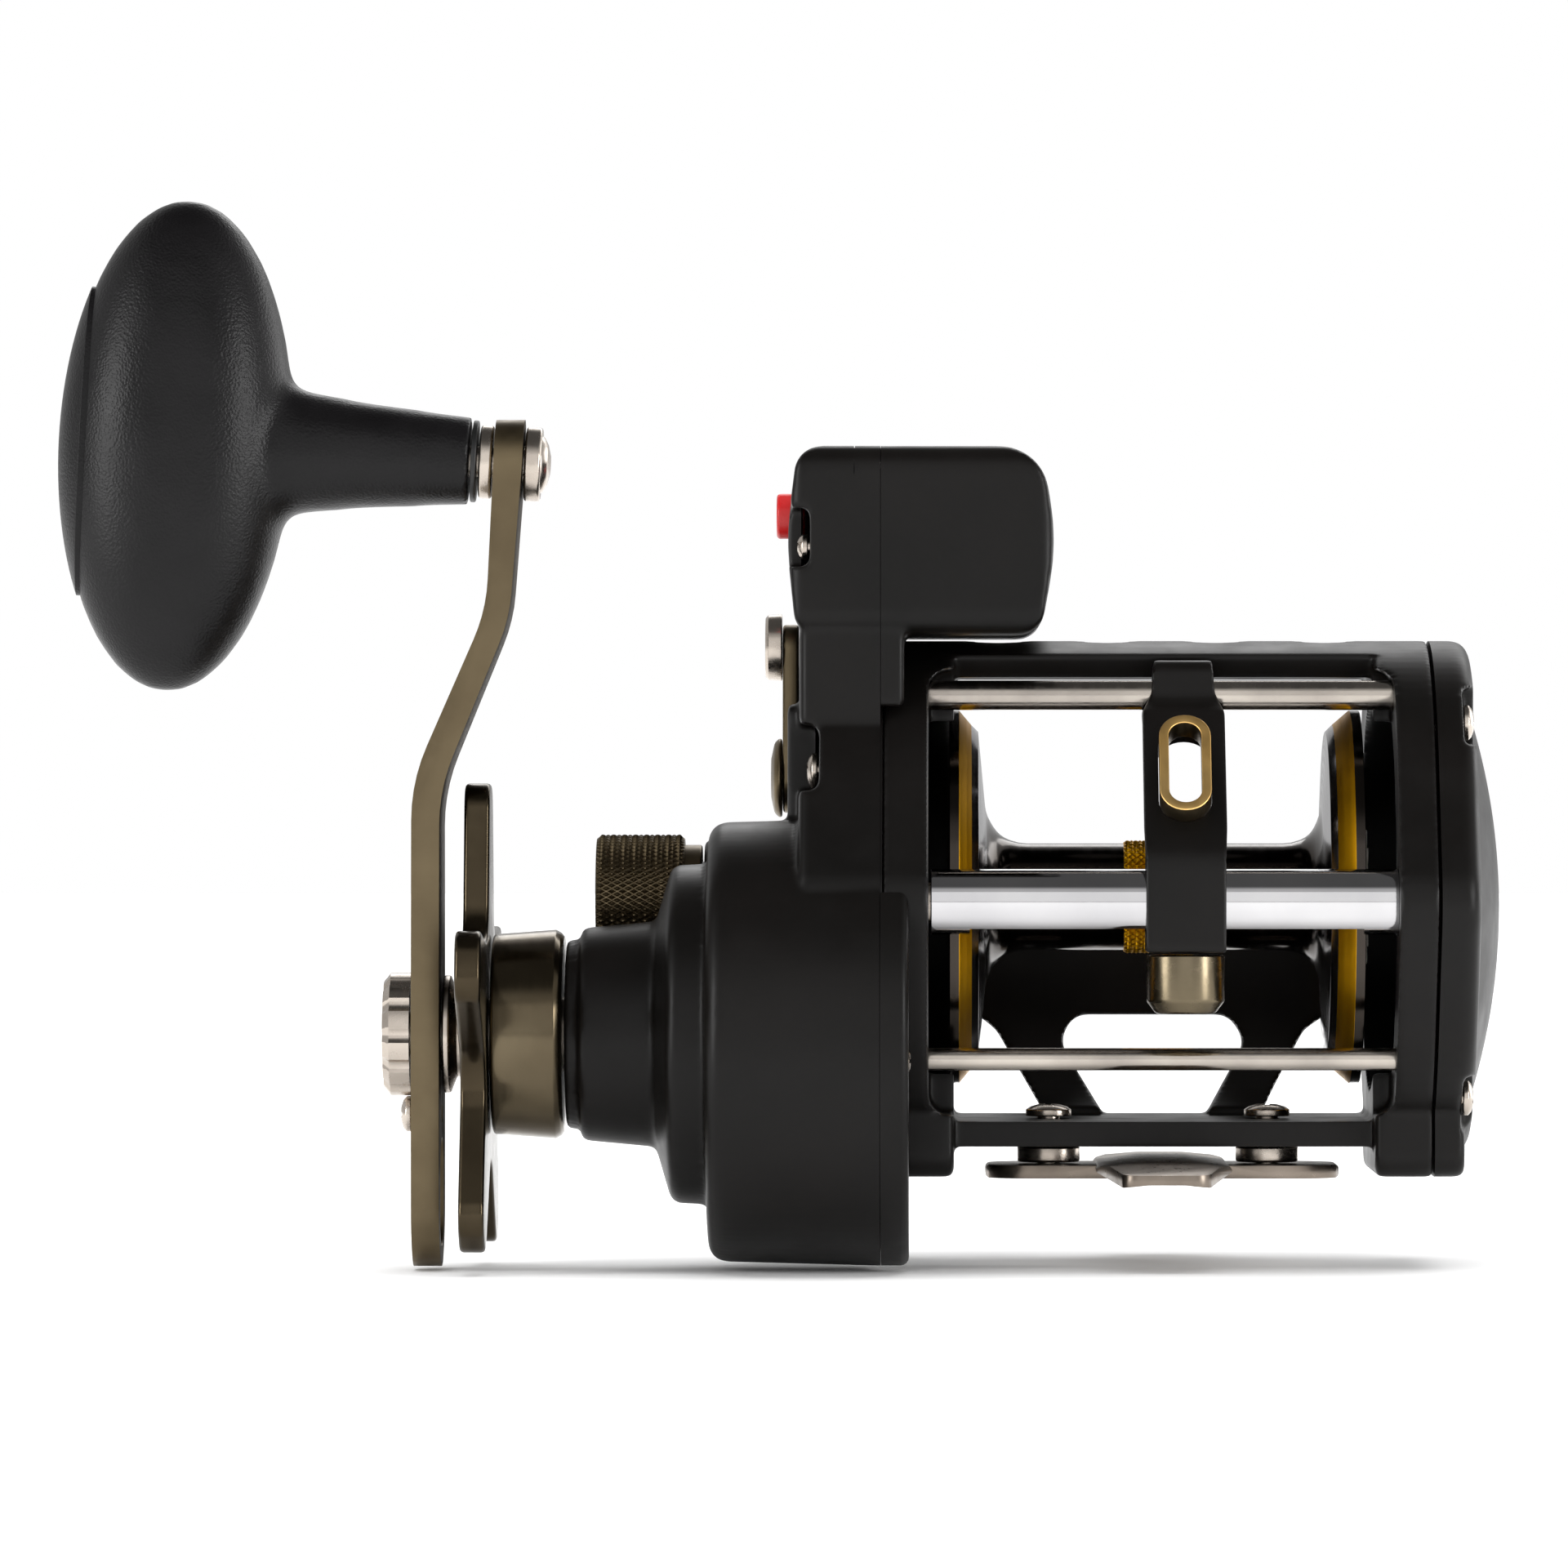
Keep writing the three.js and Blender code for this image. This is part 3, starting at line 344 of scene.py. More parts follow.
def round_grid(x_values, radius_at, centre, steps):
    """A solid about X whose radius is a function of x and the angle."""
    def point(x, t):
        r = radius_at(x, t)
        return x, centre[0] + r * math.cos(t), centre[1] + r * math.sin(t)

    return stacked([[point(x, t) for t in full_turn(steps)] for x in x_values])


def knurled(x0, x1, radius, depth, pitch, centre, chamfer, stretch=1.0):
    """A diamond-knurled cylinder about X, with plain chamfered ends."""
    length = pitch * stretch
    around = round(math.tau * radius / pitch)
    samples = 7

    def radius_at(x, t):
        a = t / math.tau * around
        b = (x - x0) / length
        near = min(abs(a + b - round(a + b)), abs(a - b - round(a - b)))
        end = min(x - x0, x1 - x)
        groove = depth * max(0.0, 1 - near / 0.34) * min(1.0, end / chamfer)
        return radius - groove - max(0.0, chamfer - end)

    count = round((x1 - x0) / length * samples)
    stations = [x0 + (x1 - x0) * k / count for k in range(count + 1)]
    return round_grid(stations, radius_at, centre, around * samples)


# ---- shaping
def settled(obj):
    """The object with its modifiers applied."""
    graph = bpy.context.evaluated_depsgraph_get()
    made = bpy.data.meshes.new_from_object(obj.evaluated_get(graph))
    old = obj.data
    obj.modifiers.clear()
    obj.data = made
    bpy.data.meshes.remove(old)
    return obj


def boolean(base, others, operation):
    for other in others:
        modifier = base.modifiers.new("boolean", "BOOLEAN")
        modifier.solver = "MANIFOLD"
        modifier.operation = operation
        modifier.object = other
        settled(base)
        bpy.data.objects.remove(other)
    return base


def add(base, *others):
    return boolean(base, others, "UNION")


def cut(base, *others):
    return boolean(base, others, "DIFFERENCE")


def common(base, *others):
    return boolean(base, others, "INTERSECT")


def moulded(obj, voxel, rounds):
    """Edges melted into small fillets, as a casting or a moulding has."""
    remesh = obj.modifiers.new("remesh", "REMESH")
    remesh.mode = "VOXEL"
    remesh.voxel_size = voxel * MM
    smooth = obj.modifiers.new("smooth", "SMOOTH")
    smooth.factor = 0.5
    smooth.iterations = rounds
    return settled(obj)


def bevelled(obj, width, segments=2, angle=32):
    bevel = obj.modifiers.new("bevel", "BEVEL")
    bevel.width = width * MM
    bevel.segments = segments
    bevel.limit_method = "ANGLE"
    bevel.angle_limit = math.radians(angle)
    bevel.use_clamp_overlap = True
    return settled(obj)


def moved(obj, matrix):
    """The mesh carried by a matrix whose translation is in metres."""
    obj.data.transform(matrix)
    return obj


def offset(x, y, z):
    return Matrix.Translation(Vector((x, y, z)) * MM)


def knob_frame(obj):
    """Carries a piece from the knob's own frame, its axis on X, to the leaning stud."""
    return moved(obj, offset(*KNOB) @ Matrix.Rotation(KNOB_TILT, 4, "Y"))


def shade(obj, sharp):
    """Smooth faces, with sharp edges where they meet at more than an angle in degrees."""
    mesh = obj.data
    edit = bmesh.new()
    edit.from_mesh(mesh)
    for face in edit.faces:
        face.smooth = True
    for edge in edit.edges:
        flat = len(edge.link_faces) == 2 and edge.calc_face_angle(0) < math.radians(sharp)
        edge.smooth = flat
    edit.to_mesh(mesh)
    edit.free()


# ---- materials
def add_node(tree, kind, **inputs):
    """A node with its inputs set to values or linked to the outputs of other nodes."""
    made = tree.nodes.new(kind)
    for key, value in inputs.items():
        socket = made.inputs[key.replace("_", " ")]
        if isinstance(value, bpy.types.NodeSocket):
            tree.links.new(value, socket)
        else:
            socket.default_value = value
    return made


class Recipe:
    """A Principled material with procedural grain, clouding and bump."""

    def __init__(self, name):
        self.material = bpy.data.materials.new(name)
        self.material.use_nodes = True
        self.tree = self.material.node_tree
        self.shader = self.tree.nodes["Principled BSDF"]
        self.place = self.tree.nodes.new("ShaderNodeTexCoord").outputs["Object"]
        self.normal = None

    def node(self, kind, **inputs):
        return add_node(self.tree, kind, **inputs)

    def noise(self, scale, detail, place=None):
        made = self.node(
            "ShaderNodeTexNoise", Vector=place or self.place, Scale=scale, Detail=detail
        )
        return made.outputs["Fac"]

    def ranged(self, value, low, high):
        """The middle of a noise's values, spread from low to high."""
        made = self.node(
            "ShaderNodeMapRange", Value=value, From_Min=0.3, From_Max=0.7, To_Min=low, To_Max=high
        )
        return made.outputs["Result"]

    def colours(self, value, dark, light):
        made = self.tree.nodes.new("ShaderNodeMix")
        made.data_type = "RGBA"
        self.tree.links.new(self.ranged(value, 0, 1), made.inputs["Factor"])
        made.inputs["A"].default_value = linear(dark)
        made.inputs["B"].default_value = linear(light)
        self.tree.links.new(made.outputs["Result"], self.shader.inputs["Base Color"])

    def roughness(self, value, low, high):
        self.tree.links.new(self.ranged(value, low, high), self.shader.inputs["Roughness"])

    def bump(self, height, strength, depth):
        """Bump of a depth in mm, on top of any bump before it."""
        made = self.node("ShaderNodeBump", Height=height, Strength=strength, Distance=depth * MM)
        if self.normal:
            self.tree.links.new(self.normal, made.inputs["Normal"])
        self.normal = made.outputs["Normal"]
        self.tree.links.new(self.normal, self.shader.inputs["Normal"])

    def turned_place(self, centre):
        """(x, distance from the axis, 0), so that noise makes lathe rings."""
        away = self.node("ShaderNodeVectorMath", Vector=self.place)
        away.operation = "SUBTRACT"
        away.inputs[1].default_value = (0, centre[0] * MM, centre[1] * MM)
        parts = self.node("ShaderNodeSeparateXYZ", Vector=away.outputs[0])
        flat = self.node("ShaderNodeCombineXYZ", Y=parts.outputs["Y"], Z=parts.outputs["Z"])
        length = self.node("ShaderNodeVectorMath", Vector=flat.outputs[0])
        length.operation = "LENGTH"
        made = self.node(
            "ShaderNodeCombineXYZ", X=parts.outputs["X"], Y=length.outputs["Value"]
        )
        return made.outputs[0]


def linear(colour):
    """An sRGB colour of 0 to 255 as the shader's linear one."""
    return (*((c / 255) ** 2.2 for c in colour), 1.0)


def satin_black(name, dark, light, low, high, grain, depth):
    """Painted or moulded black with a fine orange-peel grain."""
    recipe = Recipe(name)
    recipe.colours(recipe.noise(60, 5), dark, light)
    recipe.roughness(recipe.noise(160, 4), low, high)
    recipe.shader.inputs["Specular IOR Level"].default_value = 0.18
    recipe.bump(recipe.noise(grain, 2), 0.5, depth)
    return recipe.material


def metal(name, dark, light, low, high, grain=1500, depth=0.003):
    """A metal with a fine grain, clouded a little in tint and in polish."""
    recipe = Recipe(name)
    recipe.shader.inputs["Metallic"].default_value = 1
    recipe.colours(recipe.noise(90, 5), dark, light)
    recipe.roughness(recipe.noise(grain / 3, 4), low, high)
    recipe.bump(recipe.noise(grain, 2), 0.4, depth)
    return recipe.material


def turned_metal(name, centre, dark, light, low, high, grain=900, depth=0.002):
    """A metal turned on a lathe, with fine rings round its axis."""
    recipe = Recipe(name)
    recipe.shader.inputs["Metallic"].default_value = 1
    rings = recipe.noise(grain, 3, recipe.turned_place(centre))
    recipe.colours(recipe.noise(70, 4), dark, light)
    recipe.roughness(rings, low, high)
    recipe.bump(rings, 0.5, depth)
    return recipe.material


def leathery_rubber(name):
    """Soft-touch black with a pebbled grain."""
    recipe = Recipe(name)
    pebbles = recipe.node("ShaderNodeTexVoronoi", Vector=recipe.place, Scale=3200.0)
    pebbles.feature = "SMOOTH_F1"
    cloud = recipe.noise(120, 4)
    recipe.colours(cloud, (14, 13, 14), (21, 20, 21))
    recipe.roughness(cloud, 0.32, 0.4)
    recipe.shader.inputs["Specular IOR Level"].default_value = 0.22
    recipe.bump(pebbles.outputs["Distance"], 1.0, 0.05)
    return recipe.material


def plastic(name, dark, light, low, high):
    recipe = Recipe(name)
    cloud = recipe.noise(200, 4)
    recipe.colours(cloud, dark, light)
    recipe.roughness(cloud, low, high)
    recipe.bump(recipe.noise(3000, 2), 0.3, 0.004)
    return recipe.material


def clear_plastic(name):
    recipe = Recipe(name)
    recipe.colours(recipe.noise(200, 3), (222, 226, 228), (236, 239, 240))
    recipe.roughness(recipe.noise(400, 4), 0.02, 0.07)
    recipe.shader.inputs["Transmission Weight"].default_value = 0.9
    recipe.shader.inputs["IOR"].default_value = 1.49
    recipe.shader.inputs["Alpha"].default_value = 0.3
    return recipe.material


LOOK_RECIPES = {
    "black_alloy": (satin_black, (16, 15, 14), (22, 20, 19), 0.34, 0.44, 1400, 0.006),
    "gunmetal": (metal, (96, 85, 67), (112, 100, 79), 0.34, 0.42, 2600, 0.002),
    # The crank arm's side faces: a rougher finish (real), and a base colour about half the arm's,
    # which is painted shade for how dimly these grazing faces catch the light.
    "arm_side": (metal, (48, 42, 34), (60, 53, 42), 0.62, 0.72, 2600, 0.002),
    "polished_gunmetal": (turned_metal, GEAR, (86, 77, 62), (106, 96, 78), 0.15, 0.23),
    "star_gunmetal": (metal, (58, 51, 41), (74, 66, 53), 0.18, 0.26, 1800, 0.001),
    "steel": (metal, (168, 158, 148), (196, 186, 175), 0.2, 0.3, 1800, 0.0008),
    "foot_steel": (metal, (112, 103, 94), (146, 135, 124), 0.26, 0.36, 1800, 0.001),
    "pawl_steel": (metal, (96, 87, 70), (116, 106, 88), 0.22, 0.3, 1800, 0.0006),
    "rod_steel": (
        turned_metal, axis_of("top_guide_rod"), (150, 143, 136), (190, 182, 172), 0.14, 0.26
    ),
    "chrome": (turned_metal, WORM, (190, 189, 191), (206, 205, 206), 0.05, 0.1, 300, 0.0008),
    "brass": (metal, (150, 112, 56), (190, 146, 80), 0.25, 0.4),
    "eye_gold": (metal, (246, 198, 120), (252, 210, 138), 0.36, 0.46, 1500, 0.001),
    "gold": (turned_metal, SPOOL, (190, 136, 14), (214, 158, 30), 0.3, 0.42, 1400, 0.002),
    "spool_black": (turned_metal, SPOOL, (56, 52, 49), (68, 63, 59), 0.1, 0.2),
    "spool_face": (turned_metal, SPOOL, (112, 110, 112), (140, 138, 140), 0.1, 0.2),
    "soft_black": (leathery_rubber,),
    "black_plastic": (plastic, (18, 18, 18), (26, 26, 26), 0.35, 0.5),
    "nylon": (plastic, (205, 200, 188), (224, 220, 210), 0.45, 0.6),
    "number_white": (plastic, (222, 219, 210), (236, 233, 226), 0.4, 0.55),
    "number_black": (plastic, (14, 14, 14), (24, 24, 24), 0.4, 0.5),
    "reset_red": (plastic, (186, 22, 24), (206, 34, 34), 0.3, 0.42),
    "window_clear": (clear_plastic,),
}
LOOKS = {name: make(name, *values) for name, (make, *values) in LOOK_RECIPES.items()}


def coat(obj, look):
    obj.data.materials.clear()
    obj.data.materials.append(LOOKS[look])


def trim(obj, name, beside, look, sharp=35):
    """A named piece that rides with a CAD node."""
    obj.name = name
    obj.data.name = name
    coat(obj, look)
    shade(obj, sharp)
    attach(obj, BODY_OF[beside])


def dress(obj, node, look, sharp=35):
    """The obj stands for a CAD node and rides where it rides."""
    trim(obj, f"{node}_visual", node, look, sharp)
    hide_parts(node)


def paint(obj, look, where):
    """Gives another material to the faces whose middle, in mm, and normal pass a test."""
    obj.data.materials.append(LOOKS[look])
    index = len(obj.data.materials) - 1
    for face in obj.data.polygons:
        if where(face.center / MM, face.normal):
            face.material_index = index


def from_axis(point, centre):
    return math.hypot(point.y - centre[0], point.z - centre[1])


# ---- crank knob, in its own frame
def ellipsoid(grow):
    """The knob's bar, grown by a distance."""
    rings, steps = 64, 128
    half = BAR_HALF + Vector((grow, grow, grow))
    layers = []
    for k in range(rings + 1):
        t = math.pi * min(max(k / rings, 0.004), 0.996)
        layers.append([
            (BAR_CENTRE + half.x * math.sin(t) * math.cos(turn),
             half.y * math.sin(t) * math.sin(turn),
             -half.z * math.cos(t))
            for turn in full_turn(steps)
        ])
    return stacked(layers)


def panel_prism(grow, x1):
    """An oval prism that marks out the knob's panel."""
    wide, high = 7.6 + grow, 20 + grow
    return slab([Vector((wide * math.cos(t), high * math.sin(t))) for t in full_turn(120)], -80, x1)


STEM_ROOT, STEM_FREE = -33, -24
PANEL_FLOOR = BAR_CENTRE - BAR_HALF.x + 4.6


def make_knob():
    profile = filleted([
        (-44, 9), (-31, 9.6), (-28, 8.2, 9), (-19, 6.95, 30), (-11, 6.25), (-5.1, 5.8), (-2, 5.6),
    ], closed=False)

    def section(point):
        """A ring of the stem, which is flatter in Y where it runs into the bar."""
        root = min(1.0, max(0.0, (STEM_FREE - point.x) / (STEM_FREE - STEM_ROOT)))
        squeeze = 1 - 0.3 * root
        return [
            (point.x, squeeze * point.y * math.cos(t), point.y * math.sin(t)) for t in full_turn(96)
        ]

    stem = stacked([section(point) for point in profile])
    grip = moulded(add(ellipsoid(0.2), stem), 0.9, 24)
    cut(grip, rod(-5.1, 5, 12))
    moulded(grip, 0.4, 4)
    cut(grip, panel_prism(GAP, PANEL_FLOOR), rod(-36, 0, SHAFT_HOLE))
    dress(knob_frame(grip), "knob_grip", "soft_black", 50)
    panel = common(ellipsoid(0.5), panel_prism(0, PANEL_FLOOR - GAP))
    bevelled(panel, 0.35, 3)
    dress(knob_frame(panel), "knob_panel", "soft_black", 50)
    bush = washer(-4.8, -4.1, 5.3, SHAFT_HOLE)
    dress(knob_frame(bush), "knob_bush", "black_plastic")
    stud = lathe([
        (-35, 0), (-35, 2, 0.3), (-3.8, 2), (-3.8, 4.75, 0.4), (-2.1, 4.75, 0.4), (-2.1, 2),
        (3.6, 2), (3.6, 0),
    ])
    dress(knob_frame(stud), "knob_stud", "steel")
    nut = lathe([
        (2.1, 0), (2.1, 4.8, 0.35), (4.2, 4.8, 0.4), (4.2, 3.7), (4.5, 3.5), (5, 2.6, 0.6),
        (5.35, 1.2), (5.4, 0),
    ])
    cut(nut, rod(1, 3.9, SHAFT_HOLE))
    dress(knob_frame(nut), "knob_nut", "steel")


# ---- crank arm and star drag
ARM_X = along("crank_arm")[0]
ARM_THICKNESS = 3.6
LOCK_SCREW_DROP = 10.3


def make_crank_arm():
    left = ARM_X
    right = ARM_X + ARM_THICKNESS
    shift = KNOB.x - 1.8 - left
    bend = filleted([
        (left, -14), (right, -14), (right, 51, 24), (right + 9, 73, 22), (KNOB.x + 1.9, KNOB.z),
        (KNOB.x + 2.2, 102), (KNOB.x - 1.5, 102), (KNOB.x - 1.8, KNOB.z),
        (left + shift - 0.9, 74, 22), (left, 52, 24),
    ], step=5)
    hub = (GEAR[0], GEAR[1], 8.3)
    plan = add(
        slab(belt(hub, (GEAR[0], KNOB.z, 5.6)), -110, -70),
        slab(belt(hub, (GEAR[0], span("crank_arm")[0].z + 8, 8)), -110, -70),
    )
    arm = common(slab(bend, -40, 10, axis="y"), plan)
    cut(
        arm,
        slab(rectangle(GEAR[0] - 4.2, GEAR[0] + 4.2, -8, 6, 4.15), -110, -70),
        rod(-110, -80, 3.3, GEAR),
        rod(-110, -80, 1.3, (GEAR[0], GEAR[1] - LOCK_SCREW_DROP)),
        knob_frame(rod(-10, 10, SHAFT_HOLE)),
    )
    bevelled(arm, 0.55)
    dress(arm, "crank_arm", "gunmetal", 30)
    # Faces turned to +X get the rougher finish and a painted shade: their base colour is darker than
    # the rest of the arm's.
    paint(arm, "arm_side", lambda p, n: n.x > 0.6)


def make_arm_nut():
    x0, x1 = along("arm_nut")
    outer, scallop, reach = 8, 1.3, 8.9

    def outline(t):
        phase = (math.degrees(t) + 15) % 30 - 15
        along_arc = math.radians(phase) * reach
        if abs(along_arc) >= scallop:
            return outer
        return min(outer, reach - math.sqrt(scallop**2 - along_arc**2) - 0.1)

    def radius_at(x, t):
        chamfer = max(0.0, 0.9 - (x - x0)) * 1.2
        return outline(t) - chamfer

    stations = [x0, x0 + 0.3, x0 + 0.6, x0 + 0.9, x1 - 0.2, x1]
    nut = round_grid(stations, radius_at, GEAR, 360)
    room = rod(x0 - 1, x1 + 1, 2.65, (GEAR[0], GEAR[1] - LOCK_SCREW_DROP))
    hollow = lathe([(x0 - 1, 0), (x0 - 1, 4.6), (x0 + 0.7, 4.2), (x0 + 0.7, 3.3), (x1 + 1, 3.3),
                    (x1 + 1, 0)], GEAR)
    dress(cut(nut, room, hollow), "arm_nut", "steel", 28)


def make_star():
    x0, x1 = along("star_wheel")
    points = []

    def corner(degrees, reach, across, fillet):
        turn = math.radians(degrees)
        points.append((
            GEAR[0] + reach * math.cos(turn) - across * math.sin(turn),
            GEAR[1] + reach * math.sin(turn) + across * math.cos(turn),
            fillet,
        ))

    for arm in range(5):
        tip = 90 + 72 * arm
        corner(tip, 32.4, -4.2, 3.9)
        corner(tip, 32.4, 4.2, 3.9)
        corner(tip + 36, 14.2, 0, 6)
    star = slab(filleted(points, step=8), x0, x1, 0.55)
    cut(star, rod(x0 - 1, x1 + 1, 5.1, GEAR))
    dress(star, "star_wheel", "star_gunmetal", 40)
    c0, c1 = along("drag_collar")
    collar = lathe([
        (c0, 5.1), (c0, 12.9, 0.5), (c0 + 1.2, 13, 3), (c1 - 1.1, 13.5, 0.4), (c1 - 0.4, 13.1, 0.4),
        (c1, 12.6), (c1, 5.1),
    ], GEAR, 128, loop=True)
    dress(collar, "drag_collar", "polished_gunmetal")


def make_crank_shaft():
    shaft = lathe([
        (-100.2, 0), (-100.2, 3, 0.4), (-90.4, 3), (-90.4, 4.8, 0.2), (-51.5, 4.8), (-51.5, 4.2),
        (-44.7, 4.2), (-44.7, 8), (-43.9, 8), (-43.9, 2), (-36.8, 2), (-36.8, 0),
    ], GEAR)
    dress(shaft, "crank_shaft", "steel")
    spacer = lathe([
        (-93.1, 3.3), (-93.1, 7.6, 0.3), (-92.2, 7.6, 0.3), (-91.4, 5.5, 0.3), (-90.7, 5.5),
        (-90.7, 3.3),
    ], GEAR, loop=True)
    dress(spacer, "arm_spacer", "steel")


# ---- crank-side housing
def make_side_housing():
    over = RIM_X + 3
    nose = lathe([
        (NOSE_X, 0), (NOSE_X, 12.2, 0.3), (NOSE_X + 1.9, 12.2), (NOSE_X + 1.9, 13.7, 0.8),
        (NOSE_X + 11.5, 14.6, 1), (NOSE_X + 13.6, 21.8, 1.6), (LOBE_X + 2, 22.1), (LOBE_X + 2, 0),
    ], GEAR, 144)
    lobe = slab(lobe_outline(), LOBE_X, over, (2.4, 0), steps=4, draft=0.6)
    thin = slab(ring_outline(), THIN_X, over, (1.4, 0), steps=4)
    boss = common(
        slab(ring_outline(), COUNTER_X0, THIN_X + 2, (1.2, 0)),
        block(-50, -40, BOSS_FRONT, -4, 30, 62, 1.5),
    )
    neck = slab(filleted([(-25, 50), (14, 50), (11, 72.5), (-25, 72.5)]), THIN_X, over, (1.4, 0))
    bowed = slab(filleted([
        (COUNTER_X0 + 1.2, COUNTER_LOW, 3), (over, COUNTER_LOW), (over, SHELL_HIGH.z),
        (COUNTER_X0 + 1.4, SHELL_HIGH.z, 3.6), (COUNTER_X0 - 0.1, COUNTER_LOW + 12.5, 30),
    ], step=6), -30, 30, axis="y")
    counter = common(
        slab(counter_outline(0, 3.2), COUNTER_X0 - 0.2, over, (2.8, 0), steps=5),
        bowed,
    )
    ridge = slab(rectangle(-27.6, -20, 40.5, 50.4, 1.6), THIN_X + 0.3, over, (1.4, 0))
    outer = add(
        thin, lobe, nose, boss, neck, counter, ridge,
        rod(LOBE_X - 0.9, LOBE_X + 1, 7.3, SPOOL),
    )
    side_axis, counter_axis = axis_of("side_screw"), axis_of("counter_screw")
    side_floor = along("side_screw")[0] + 1.7
    counter_floor = along("counter_screw")[0] + 1.7
    pocket = slab(rectangle(-52, side_floor, 50.8, 59.3, 1.3), -60, side_axis[0] + 2.7, axis="y")
    small = slab(rectangle(-52, counter_floor, 79.6, 87.2, 1.1), -40, counter_axis[0] + 1.9,
                 axis="y")
    moulded(cut(outer, pocket, small), 0.4, 9)
    trim_side = block(SEAM_X - SEAM, 20, -60, 60, -30, 120)
    seam_band = cut(
        slab(ring_outline(-0.25), THIN_X + 4, RING_LEFT - SEAM),
        slab(ring_outline(-1.2), THIN_X, 0),
    )
    cover_seam = add(
        block(COVER_SEAM_X, COVER_SEAM_X + 0.15, -40, SHELL_LOW.y + 0.3, 91.5, 120),
        block(COVER_SEAM_X, COVER_SEAM_X + 0.15, -40, 40, SHELL_HIGH.z - 0.3, 120),
    )
    chamber = add(
        slab(ring_outline(-WALL, NOSE_BULGE - 1.5), THIN_X + 2, 0),
        slab(lobe_outline(-WALL), LOBE_X + WALL, 0),
    )
    bore = lathe([(-90, 0), (-90, 5.2), (NOSE_X + 3.8, 5.2), (NOSE_X + 3.8, 9.6), (-50, 9.6),
                  (-50, 0)], GEAR)
    knob_room = cut(rod(-90, LOBE_X - 0.9, 9.2, SPOOL), rod(-91, -50, 4.6, SPOOL))
    wheel_room = slab(counter_outline(COUNTER_WALL, 2), COUNTER_X0 + COUNTER_WALL, 0)
    lever = axis_of("lever_cap")
    reset = axis_of("reset_button")
    cut(
        outer, trim_side, cover_seam, chamber, bore, knob_room, wheel_room,
        rod(-70, -40, SHAFT_HOLE, SPOOL),
        slab(rectangle(2.4, 20, 60, 77.5, 1), -52, THIN_X),
        rod(-60, -40, BOLT_HOLE, lever),
        rod(-52, -42, radius_of("reset_button") + GAP, reset),
    )
    add(
        outer,
        rod(side_floor + 0.3, side_floor + 3.5, 4.2, side_axis),
        rod(counter_floor + 0.3, counter_floor + 3.5, 2.8, counter_axis),
    )
    cut(outer, rod(-50, -40, 1.4, side_axis), rod(-50, -41, SCREW_HOLE, counter_axis))
    add(outer, seam_band)
    post_wall = cut(rod(-66, LOBE_X + 1.2, 4.6, SPOOL, 0.3), rod(-70, -40, SHAFT_HOLE, SPOOL))
    dress(add(outer, post_wall), "side_housing", "black_alloy", 30)


def make_inner_plate():
    left = SEAM_X - 2.6
    lip = slab(lobe_outline(), SEAM_X, SEAM_X + 3.6, (0, 1.1), steps=4)
    cut(lip, slab(ring_outline(GAP), SEAM_X - 1, SEAM_X + 5),
        slab(pad_outline(GAP), SEAM_X - 1, SEAM_X + 5))
    plate = add(
        slab(ring_outline(-WALL - GAP, NOSE_BULGE - 1.8), left, SEAM_X),
        slab(lobe_outline(-WALL - GAP), left, SEAM_X),
        lip,
    )
    idler = axis_of("idler_pin")
    cover = axis_of("cover_screw")
    cut(
        plate,
        block(SEAM_X, -30, -20, 60, -20, 3),
        rod(-50, -30, BEARING_SEAT, SPOOL),
        rod(-50, -30, 3.1, WORM),
        rod(-50, -30, SHAFT_HOLE, GEAR),
        rod(-50, -30, BOLT_HOLE, idler),
        rod(SEAM_X + 2.2, -30, 2.3, cover),
        rod(-50, -30, SCREW_HOLE, cover),
    )
    dress(plate, "inner_side_plate", "black_alloy", 30)


# ---- frame
def foot_bolts(bottom):
    """Room for the two screws of the foot, from a height up into the bottom bar."""
    return [
        slab(circle(post_at(f"foot_screw_{side}")[0], 0, BOLT_HOLE), bottom, 10, axis="z")
        for side in ("left", "right")
    ]


